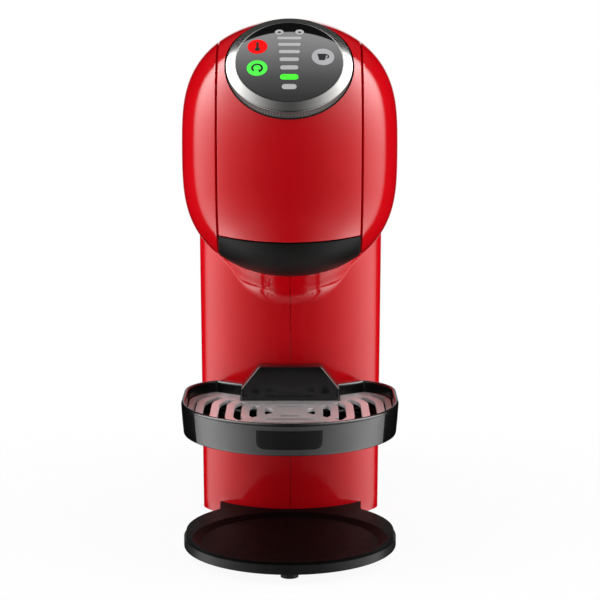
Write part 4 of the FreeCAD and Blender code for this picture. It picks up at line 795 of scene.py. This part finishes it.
def make_ready_key(marks):
    """The lower left key, with a turning arrow."""
    print_mark("key_ready", oval(READY_KEY, READY_WIDTH, READY_WIDTH, KEY_SIDES), MARK_LIFT, marks["green"])
    print_mark("key_ready_arc", arch(READY_KEY, READY_RADII, READY_TURN), SIGN_LIFT, marks["dark"])
    print_mark("key_ready_tip", READY_TIP, TOP_LIFT, marks["dark"])


def make_cup_key(marks):
    """The right key, with a cup."""
    print_mark("key_cup", oval(CUP_KEY, CUP_WIDTH, CUP_WIDTH, KEY_SIDES), MARK_LIFT, marks["grey"])
    print_mark("key_cup_body", CUP_BODY, SIGN_LIFT, marks["dark"])
    print_mark("key_cup_ear", arch(CUP_EAR, CUP_EAR_RADII, CUP_EAR_TURN), TOP_LIFT, marks["dark"])


def make_lamps(marks):
    """The two small lamps at the head of the lens."""
    for side, name in SIDES:
        u = side * LAMP_SPREAD
        print_mark(f"lamp_{name}", oval((u, LAMP_RISE), *LAMP_SIZE, LAMP_SIDES), MARK_LIFT, marks["pale"])
        sign = oval((u, LAMP_SIGN_RISE), *LAMP_SIGN_SIZE, LAMP_SIGN_SIDES)
        print_mark(f"lamp_{name}_mark", sign, SIGN_LIFT, marks["dark"])


def make_size_bars(marks):
    """The column of size bars, one of them lit."""
    for index, (v, width, height) in enumerate(SIZE_BARS):
        shade = marks["lit" if index == LIT_BAR else "pale"]
        outline = bar((0.0, v), width, height, BAR_CORNER * height)
        print_mark(f"size_bar_{index + 1}", outline, MARK_LIFT, shade)


def make_display(marks):
    make_heat_key(marks)
    make_ready_key(marks)
    make_cup_key(marks)
    make_lamps(marks)
    make_size_bars(marks)


# Tray

def tray_outline(inset):
    """Closed plan outline of the tray, set in all round, hollowed at the rear for the column."""
    half = TRAY_HALF - inset
    corner = TRAY_CORNER - inset
    room = TRAY_ROOM + inset
    front = arc(0.0, TRAY_AXIS, half, 180.0, 360.0, TRAY_FRONT_STEPS)
    turned = arc(half - corner, TRAY_BACK - inset - corner, corner, 0.0, 90.0, TRAY_CORNER_STEPS)
    reach = [(x, y) for x, y in turned if x * x + (y - COLUMN_AXIS) ** 2 > room * room]
    end_x, end_y = reach[-1]
    turn = math.atan2(end_x, COLUMN_AXIS - end_y)
    angles = np.linspace(turn, -turn, TRAY_HOLLOW_POINTS)[1:-1]
    hollow = [(room * math.sin(angle), COLUMN_AXIS - room * math.cos(angle)) for angle in angles]
    right = even([front[-1]] + reach, TRAY_SIDE_POINTS)
    loop = even(front, TRAY_FRONT_STEPS + 1)[:-1].tolist() + right.tolist()
    loop += even([(end_x, end_y)] + hollow + [(-end_x, end_y)], TRAY_HOLLOW_POINTS)[1:].tolist()
    loop += (right[::-1] * np.array([-1, 1]))[1:-1].tolist()
    return np.array(loop)


def make_tray(material):
    """The tray's shell: its profile carried round its plan outline."""
    rings = []
    for inset, z in TRAY_PROFILE:
        loop = tray_outline(inset)
        rings.append(np.column_stack([loop, np.full(len(loop), z)]))
    faces = closed_faces(len(rings), len(rings[0]))
    item = build("tray_shell", np.vstack(rings), faces, material, "tray")
    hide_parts("drip_tray")


def make_bracket(material):
    """The upright at the tray's rear that rides on the column."""
    fronts = []
    rears = []
    for z, half in BRACKET_LEVELS:
        across = np.linspace(-half, half, BRACKET_POINTS)
        fronts.append([[x, BRACKET_FRONT, z] for x in across])
        rears.append([[x, COLUMN_AXIS - math.sqrt(TRAY_ROOM * TRAY_ROOM - x * x), z] for x in across])
    loops = [front + rear[::-1] + front[:1] for front, rear in zip(fronts, rears)]
    ends = [np.array([fronts[level], rears[level]]) for level in (0, -1)]
    item = weld("tray_bracket", [np.array(loops)] + ends, material, "tray")
    round_edges(item, BRACKET_EDGE, BRACKET_ANGLE)


def front_point(x, z, proud):
    """A point on the tray's drafted front."""
    share = (TRAY_RIM - LIP_DROP - z) / (TRAY_RIM - LIP_DROP - TRAY_LOW - FOOT_RISE)
    radius = TRAY_HALF - LIP_INSET - (TRAY_DRAFT - LIP_INSET) * min(max(share, 0.0), 1.0) + proud
    angle = math.asin(x / TRAY_HALF)
    return (radius * math.sin(angle), TRAY_AXIS - radius * math.cos(angle), z)


def make_band(material):
    """The satin band round the tray's front."""
    across = BAND_HALF * np.sin(np.radians(np.linspace(-90, 90, BAND_COLUMNS)))
    rows = []
    for z in np.linspace(BAND_LOW, BAND_HIGH, BAND_ROWS):
        rows.append([front_point(x, z, BAND_PROUD) for x in across])
    item = weld("tray_band_satin", [np.array(rows)], material, "tray")
    outward(item, TRAY_INSIDE)
    thicken(item, BAND_WALL, BAND_EDGE)
    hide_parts("tray_band")


def badge_piece(name, margin, proud, corner, material):
    """A thin plate on the tray's front with its two lower corners rounded."""
    low = BADGE_LOW + margin
    rows = []
    for z in np.linspace(low, BADGE_HIGH - margin, BADGE_ROWS):
        drop = max(low + corner - z, 0.0)
        narrow = corner - math.sqrt(max(corner * corner - drop * drop, 0.0))
        reach = BADGE_HALF - margin - narrow
        rows.append([front_point(x, z, proud) for x in np.linspace(-reach, reach, BADGE_COLUMNS)])
    item = weld(name, [np.array(rows)], material, "tray")
    outward(item, TRAY_INSIDE)
    thicken(item, BADGE_WALL, BADGE_EDGE)
    return item


def make_badge(plate_material, rim_material):
    """A bare plate in a thin rim on the band."""
    rim = badge_piece("badge_rim", 0.0, BADGE_PROUD, BADGE_CORNER, rim_material)
    plate = badge_piece("badge_field", BADGE_MARGIN, FIELD_PROUD, FIELD_CORNER, plate_material)
    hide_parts("badge_plate")


# Valve spring, brew hose and base

def make_spring(material):
    """The valve's coil spring, fitted to the box of the part's own spring."""
    low, high = (np.array(corner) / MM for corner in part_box("valve_spring"))
    middle = (low + high) / 2
    radius = (high[0] - low[0]) / 2 - SPRING_WIRE
    foot = low[2] + SPRING_WIRE
    rise = high[2] - low[2] - 2 * SPRING_WIRE
    count = SPRING_TURNS * SPRING_STEPS
    rows = []
    for step in range(count + 1):
        turn = 2 * math.pi * step / SPRING_STEPS
        row = []
        for side in range(SPRING_SIDES + 1):
            around = 2 * math.pi * side / SPRING_SIDES
            reach = radius + SPRING_WIRE * math.cos(around)
            level = foot + rise * step / count + SPRING_WIRE * math.sin(around)
            row.append((middle[0] + reach * math.cos(turn), middle[1] + reach * math.sin(turn), level))
        rows.append(row)
    item = weld("valve_coil", [np.array(rows)], material, "tank")
    with edited(item.data) as work:
        bmesh.ops.holes_fill(work, edges=[edge for edge in work.edges if edge.is_boundary], sides=0)
    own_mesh(item)
    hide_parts("valve_spring")


def copied(node, name, material):
    """A piece with the node's own solid, which stands for the node."""
    item = placed(name, nodes[node].data.copy())
    item.data.materials.clear()
    item.data.materials.append(material)
    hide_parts(node)
    return item


def make_brew_hose(material):
    """The brew hose between the heater and the injection plate, with its long edges divided more finely."""
    item = copied("brew_hose", "brew_hose_soft", material)
    with edited(item.data) as work:
        lengths = [edge for edge in work.edges if edge.calc_length() > HOSE_STEP * MM]
        bmesh.ops.subdivide_edges(work, edges=lengths, cuts=HOSE_CUTS)
        bmesh.ops.triangulate(work, faces=work.faces)
    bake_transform(item)


def make_soft_copy(node, material):
    """The node's own solid with its sharp edges eased."""
    item = copied(node, f"{node}_eased", material)
    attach(item, "machine")
    round_edges(item, BASE_EDGE)


# Shader nodes

def shader(name):
    """A new material, its node tree and its surface."""
    material = bpy.data.materials.new(name)
    material.use_nodes = True
    tree = material.node_tree
    return material, tree, tree.nodes["Principled BSDF"]


def add(tree, kind, settings=None, **links):
    """A node with its settings. An input goes by name, or by i and its number, to a value or a socket."""
    item = tree.nodes.new(kind)
    for key, value in (settings or {}).items():
        setattr(item, key, value)
    for key, value in links.items():
        numbered = key[0] == "i" and key[1:].isdigit()
        socket = item.inputs[int(key[1:]) if numbered else key.replace("_", " ")]
        if isinstance(value, bpy.types.NodeSocket):
            tree.links.new(value, socket)
        else:
            socket.default_value = value
    return item


def maths(tree, operation, first, second=0.0):
    """One step of arithmetic on a value or two."""
    return add(tree, "ShaderNodeMath", {"operation": operation}, i0=first, i1=second).outputs[0]


def mix(tree, kind, factor, first, second):
    """Passes from the first value to the second as the factor goes from 0 to 1."""
    low, high, result = MIX_SOCKETS[kind]
    ends = {f"i{low}": first, f"i{high}": second}
    return add(tree, "ShaderNodeMix", {"data_type": kind}, Factor=factor, **ends).outputs[result]


def remap(tree, value, source, target=(0.0, 1.0), curve="LINEAR"):
    """A value carried from one range to another and held at its ends."""
    return add(
        tree, "ShaderNodeMapRange", {"interpolation_type": curve}, Value=value, From_Min=source[0],
        From_Max=source[1], To_Min=target[0], To_Max=target[1]).outputs["Result"]


def noise(tree, scale, detail=3.0, roughness=0.55):
    """Soft random patches fixed to the piece."""
    where = add(tree, "ShaderNodeTexCoord").outputs["Object"]
    item = add(tree, "ShaderNodeTexNoise", Vector=where, Scale=scale, Detail=detail, Roughness=roughness)
    return item.outputs["Fac"]


def ramp(tree, value, stops):
    """A colour curve over a value, from stops of position and colour."""
    item = add(tree, "ShaderNodeValToRGB", Fac=value)
    elements = item.color_ramp.elements
    for element, (position, colour) in zip(elements, (stops[0], stops[-1])):
        element.position = position
        element.color = (*colour, 1)
    for position, colour in stops[1:-1]:
        elements.new(position).color = (*colour, 1)
    return item.outputs["Color"]


def drift(tree, scale, dark, light):
    """A colour that wanders between two shades."""
    return ramp(tree, noise(tree, scale), list(zip(DRIFT_STOPS, (dark, light))))


def uneven(tree, surface, least, most, scale, detail=3.0):
    """Roughness that wanders between two values."""
    rough = remap(tree, noise(tree, scale, detail), (0.0, 1.0), (least, most))
    tree.links.new(rough, surface.inputs["Roughness"])


def relief(tree, surface, strength, depth, height):
    """Fine bumps on a surface from a height pattern."""
    bump = add(tree, "ShaderNodeBump", Strength=strength, Distance=depth, Height=height)
    tree.links.new(bump.outputs["Normal"], surface.inputs["Normal"])


def linear(red, green, blue):
    """Colour written as it looks on a screen, 0 to 255, turned into light by the standard screen curve."""
    parts = []
    for value in (red, green, blue):
        value /= 255
        parts.append(value / 12.92 if value <= 0.04045 else ((value + 0.055) / 1.055) ** 2.4)
    return tuple(parts)


# Materials

def worn_and_glinting(tree, colour, light, wear_and_glint):
    """The colour with its sharp edges lighter: rubbed wear, and on the base plates a painted highlight along
    the rim.
    """
    edge = add(tree, "ShaderNodeNewGeometry").outputs["Pointiness"]
    mask = ramp(tree, edge, list(zip(WEAR_AND_GLINT_STOPS, ((0, 0, 0), (wear_and_glint, wear_and_glint, wear_and_glint)))))
    rubbed_and_glinting = [min(1.0, WEAR_AND_GLINT_GAIN * part + WEAR_AND_GLINT_LIFT) for part in linear(*light)]
    return mix(tree, "RGBA", mask, colour, (*rubbed_and_glinting, 1))


def solid(name, dark, light, rough, grain=220.0, bump=0.02, metallic=0.0, coat=0.0, specular=0.5, wear_and_glint=0.0):
    """A worked surface: drifting colour, uneven roughness, fine grain and lighter edges, for wear and, on the
    base plates, a painted highlight.
    """
    material, tree, surface = shader(name)
    colour = drift(tree, COLOUR_SCALE, linear(*dark), linear(*light))
    if wear_and_glint:
        colour = worn_and_glinting(tree, colour, light, wear_and_glint)
    tree.links.new(colour, surface.inputs["Base Color"])
    uneven(tree, surface, rough * ROUGH_LEAST, rough * ROUGH_MOST, ROUGH_SCALE, ROUGH_DETAIL)
    relief(tree, surface, bump, GRAIN_DEPTH, noise(tree, grain * GRAIN_SCALE, GRAIN_DETAIL))
    surface.inputs["Metallic"].default_value = metallic
    surface.inputs["Coat Weight"].default_value = coat
    surface.inputs["Coat Roughness"].default_value = COAT_ROUGH
    surface.inputs["Specular IOR Level"].default_value = specular
    return material


def clear_plastic(name):
    """The tank's clear wall: faintly cool, smooth and slightly rippled."""
    material, tree, surface = shader(name)
    colour = drift(tree, CLEAR_SCALE, linear(*CLEAR_DARK), linear(*CLEAR_LIGHT))
    tree.links.new(colour, surface.inputs["Base Color"])
    uneven(tree, surface, *CLEAR_ROUGH, CLEAR_ROUGH_SCALE)
    relief(tree, surface, CLEAR_RIPPLE, CLEAR_RIPPLE_DEPTH, noise(tree, CLEAR_RIPPLE_SCALE))
    surface.inputs["Transmission Weight"].default_value = CLEAR_SHARE
    surface.inputs["IOR"].default_value = CLEAR_IOR
    return material


def lens_glass(name):
    """Smoked display: its tint, lighter above and darker below as a painted reflection, black beyond an arc
    near its upper edge.
    """
    material, tree, surface = shader(name)
    where = add(tree, "ShaderNodeTexCoord").outputs["Object"]
    centre = tuple(DIAL_CENTRE * MM)
    offset = add(tree, "ShaderNodeVectorMath", {"operation": "SUBTRACT"}, i0=where, i1=centre).outputs[0]
    up = add(tree, "ShaderNodeVectorMath", {"operation": "DOT_PRODUCT"}, i0=offset, i1=tuple(DIAL_UP))
    share = remap(tree, up.outputs["Value"], [end * MM for end in LENS_SPAN])
    # The rise from dark below to light above is a painted reflection laid over the smoked tint
    grey = ramp(tree, share, [(at, (level, level, level * LENS_BLUE)) for at, level in LENS_TINT_AND_PAINTED_SHEEN])
    arc_centre = tuple((DIAL_CENTRE - DIAL_UP * LENS_ARC_DROP) * MM)
    reach = add(tree, "ShaderNodeVectorMath", {"operation": "DISTANCE"}, i0=where, i1=arc_centre)
    inside = remap(tree, reach.outputs["Value"], [end * MM for end in LENS_ARC_EDGE], (1.0, 0.0))
    tree.links.new(mix(tree, "RGBA", inside, LENS_BLACK, grey), surface.inputs["Base Color"])
    uneven(tree, surface, *LENS_ROUGH, LENS_ROUGH_SCALE)
    surface.inputs["Specular IOR Level"].default_value = LENS_SPECULAR
    return material


def lamp_mark(name, dark, light, strength):
    """A printed mark, which may be lit from behind."""
    material = solid(name, dark, light, MARK_ROUGH, bump=0.0, specular=MARK_SPECULAR)
    surface = material.node_tree.nodes["Principled BSDF"]
    surface.inputs["Emission Color"].default_value = (*linear(*light), 1)
    surface.inputs["Emission Strength"].default_value = strength
    return material


def make_materials():
    """Finishes by slot or use: name, darker and lighter shade, roughness, grain and its strength."""
    return {
        "red_shell": solid("red_plastic", (183, 5, 15), (189, 6, 18), 0.10, 60.0, 0.008),
        "black_plastic": solid("black_satin", (22, 21, 21), (29, 28, 28), 0.38, 260.0, 0.05, wear_and_glint=0.3),
        "holder_black": solid(
            "holder_black", (10, 10, 9), (14, 13, 12), 0.42, 260.0, 0.05, specular=0.14, wear_and_glint=0.2),
        "black_gloss": solid(
            "black_gloss", (10, 10, 10), (14, 14, 14), 0.16, 80.0, 0.015, coat=0.2, wear_and_glint=0.2),
        "display_glass": lens_glass("display_smoked_painted_sheen"),
        "satin_metal": solid(
            "ring_metal", (150, 149, 147), (164, 163, 161), 0.17, 300.0, 0.003, metallic=1.0),
        # A darker, duller copy of the ring's metal for its toothed side: painted shade
        "ring_side": solid("ring_side", (78, 77, 75), (90, 89, 87), 0.42, 300.0, 0.003, metallic=0.35),
        "grey_band": solid("band_satin", (98, 98, 98), (106, 106, 106), 0.34, 260.0, 0.03, metallic=0.75),
        "steel": solid("polished_steel", (196, 194, 194), (210, 208, 208), 0.2, 120.0, 0.01, metallic=1.0),
        # The lighter edges of the base plates, base_black and chassis_black, are a painted highlight along
        # their rims
        "base_black": solid("base_black", (3, 3, 3), (6, 6, 6), 0.42, 260.0, 0.03, specular=0.025, wear_and_glint=0.25),
        "chassis_black": solid(
            "chassis_black", (8, 8, 8), (12, 12, 12), 0.32, 260.0, 0.03, specular=0.32, wear_and_glint=0.3),
        "grid_steel": solid("grid_steel", (222, 218, 219), (234, 231, 232), 0.32, 160.0, 0.02, metallic=0.7),
        "badge_plate": solid("badge_plate", (20, 20, 20), (25, 25, 25), 0.3, 200.0, 0.02, specular=0.35),
        "badge_dark": solid("badge_dark", (24, 24, 24), (32, 32, 32), 0.3, 200.0, 0.02, metallic=0.6),
        "rubber": solid("rubber", (24, 24, 24), (32, 32, 32), 0.7, 200.0, 0.15),
        "frame_plastic": solid("frame_plastic", (70, 72, 74), (82, 84, 86), 0.5, 200.0, 0.08, wear_and_glint=0.3),
        "magnet": solid("magnet_nickel", (150, 150, 152), (168, 168, 170), 0.22, 200.0, 0.03, metallic=1.0),
        "tank_clear": clear_plastic("tank_clear"),
        "white_plastic": solid("white_plastic", (206, 206, 202), (220, 220, 216), 0.42, 200.0, 0.05),
        "coil_iron": solid("coil_iron", (72, 66, 62), (92, 84, 78), 0.45, 300.0, 0.2, metallic=0.8),
        "aluminium": solid(
            "cast_aluminium", (160, 162, 164), (176, 178, 180), 0.36, 400.0, 0.15, metallic=1.0),
        "hose": solid("silicone_hose", (196, 190, 180), (210, 204, 196), 0.4, 160.0, 0.04),
        "circuit_board": solid("circuit_board", (18, 74, 44), (28, 92, 56), 0.42, 500.0, 0.1),
    }


def make_marks():
    """Colours of the printed marks: darker and lighter shade, and how strongly they are lit."""
    return {
        "red": lamp_mark("lamp_red", (224, 4, 6), (240, 8, 10), 0.45),
        "green": lamp_mark("lamp_green", (60, 220, 60), (84, 240, 78), 0.45),
        "lit": lamp_mark("lamp_bar", (60, 228, 40), (84, 248, 66), 0.5),
        "grey": lamp_mark("key_grey", (170, 170, 172), (182, 182, 184), 0.05),
        "pale": lamp_mark("print_pale", (176, 176, 176), (188, 188, 188), 0.05),
        "dark": lamp_mark("print_dark", (40, 40, 40), (54, 54, 54), 0.0),
    }


def dress(materials):
    """Every CAD node takes its own finish, or the material of its slot."""
    slots = {entry["node"]: entry["material_slot"] for entry in frame["record"]["subparts"]}
    for name, item in nodes.items():
        item.data.materials.clear()
        item.data.materials.append(materials[NODE_FINISH.get(name, slots[name])])


# Studio

def make_camera():
    """The photo's view: from the front, looking slightly down."""
    data = bpy.data.cameras.new("Camera")
    data.sensor_width = CAMERA_SENSOR
    data.sensor_fit = "HORIZONTAL"
    data.lens = CAMERA_LENS
    item = placed("Camera", data)
    item.location = CAMERA_PLACE
    item.rotation_euler = (math.radians(CAMERA_TILT), 0, 0)
    bpy.context.scene.camera = item


def make_panel(side, name):
    """A soft side panel that lights the colours; what glossy surfaces mirror is in the surroundings."""
    data = bpy.data.lights.new(f"panel_{name}", "AREA")
    data.shape = "RECTANGLE"
    data.size = PANEL_WIDTH
    data.size_y = PANEL_HEIGHT
    data.energy = PANEL_POWER
    item = placed(f"panel_{name}", data)
    item.location = (PANEL_ASIDE * side, PANEL_Y, PANEL_Z)
    item.rotation_euler = Vector((-side, 0, 0)).to_track_quat("-Z", "Y").to_euler()
    item.visible_camera = False
    item.visible_glossy = False


def glow(tree, value, span, stops):
    """A brightness curve over a value, from stops of value and brightness."""
    low, high = span
    peak = max(level for _, level in stops)
    scaled = [((at - low) / (high - low), (level / peak,) * 3) for at, level in stops]
    return maths(tree, "MULTIPLY", ramp(tree, remap(tree, value, span), scaled), peak)


def mirrored_light(tree):
    """What glossy surfaces mirror: bright sides, a soft top behind, and white straight behind."""
    where = add(tree, "ShaderNodeTexCoord").outputs["Generated"]
    split = add(tree, "ShaderNodeSeparateXYZ", Vector=where).outputs
    aside = maths(tree, "ABSOLUTE", split["X"])
    ahead = maths(tree, "MULTIPLY", split["Y"], -1.0)
    turn = maths(tree, "DEGREES", maths(tree, "ARCTAN2", aside, ahead))
    side = glow(tree, turn, TURN_SPAN, SIDE_GLOW)
    rise = glow(tree, split["Z"], RISE_SPAN, RISE_GLOW)
    rear = glow(tree, turn, TURN_SPAN, REAR_GLOW)
    high = glow(tree, split["Z"], RISE_SPAN, TOP_GLOW)
    around = maths(tree, "ADD", maths(tree, "MULTIPLY", side, rise), maths(tree, "MULTIPLY", rear, high))
    return maths(tree, "MAXIMUM", around, remap(tree, split["Y"], WHITE_BEHIND))


def seen_direct(tree, path):
    """1 for rays from the camera or through clear plastic, and 0 for others."""
    return maths(tree, "MAXIMUM", path["Is Camera Ray"], path["Is Transmission Ray"])


def make_world():
    """White to the camera and through clear plastic, even to dull surfaces, a studio to glossy ones."""
    world = bpy.data.worlds.new("Studio")
    bpy.context.scene.world = world
    world.use_nodes = True
    tree = world.node_tree
    back = tree.nodes["Background"]
    path = add(tree, "ShaderNodeLightPath").outputs
    room = mix(tree, "FLOAT", path["Is Glossy Ray"], ROOM_LEVEL, mirrored_light(tree))
    tree.links.new(mix(tree, "FLOAT", seen_direct(tree, path), room, 1.0), back.inputs["Strength"])
    back.inputs["Color"].default_value = (1, 1, 1, 1)


def floor_white():
    """Pale and nearly white to the camera, fading out towards the floor's rim."""
    material, tree, surface = shader("floor_white")
    colour = drift(tree, FLOOR_SCALE, FLOOR_DARK, FLOOR_LIGHT)
    tree.links.new(colour, surface.inputs["Base Color"])
    surface.inputs["Roughness"].default_value = FLOOR_ROUGH
    surface.inputs["Specular IOR Level"].default_value = FLOOR_SPECULAR
    path = add(tree, "ShaderNodeLightPath").outputs
    share = maths(tree, "MULTIPLY", seen_direct(tree, path), FLOOR_WHITE)
    white = add(tree, "ShaderNodeEmission", Color=(1, 1, 1, 1), Strength=1.0)
    lit = add(tree, "ShaderNodeMixShader", Fac=share, i1=surface.outputs[0], i2=white.outputs[0])
    where = add(tree, "ShaderNodeTexCoord").outputs["Object"]
    reach = add(tree, "ShaderNodeVectorMath", {"operation": "LENGTH"}, i0=where).outputs["Value"]
    fade = remap(tree, reach, (FLOOR_SOLID, FLOOR_REACH), curve="SMOOTHSTEP")
    clear = add(tree, "ShaderNodeBsdfTransparent")
    both = add(tree, "ShaderNodeMixShader", Fac=fade, i1=lit.outputs[0], i2=clear.outputs[0])
    tree.links.new(both.outputs[0], tree.nodes["Material Output"].inputs["Surface"])
    return material


def make_floor():
    """A round pale sheet that takes the shadow and fades out into the white surroundings."""
    mesh = bpy.data.meshes.new("floor")
    rim = arc(0.0, 0.0, FLOOR_REACH, 0, 360, FLOOR_SIDES)[:-1]
    mesh.from_pydata([(x, y, FLOOR_LEVEL) for x, y in rim], [], [tuple(range(FLOOR_SIDES))])
    mesh.materials.append(floor_white())
    item = placed("floor", mesh)
    item.visible_glossy = False


def make_studio():
    bpy.context.scene.view_settings.view_transform = "Standard"
    make_camera()
    make_world()
    make_floor()
    for side, name in SIDES:
        make_panel(side, name)


materials = make_materials()
dress(materials)
make_handle(materials["red_shell"])
for side, name in SIDES:
    make_shell(side, name, materials["red_shell"])
make_holder_front(materials["holder_black"])
make_ring(materials["satin_metal"], materials["ring_side"])
make_gasket(materials["rubber"])
make_display(make_marks())
make_tray(materials["black_gloss"])
make_bracket(materials["black_gloss"])
make_band(materials["grey_band"])
make_badge(materials["badge_plate"], materials["badge_dark"])
for name in ("base_deck", "base_chassis"):
    make_soft_copy(name, materials[NODE_FINISH[name]])
make_spring(materials["steel"])
make_brew_hose(materials["hose"])
make_studio()
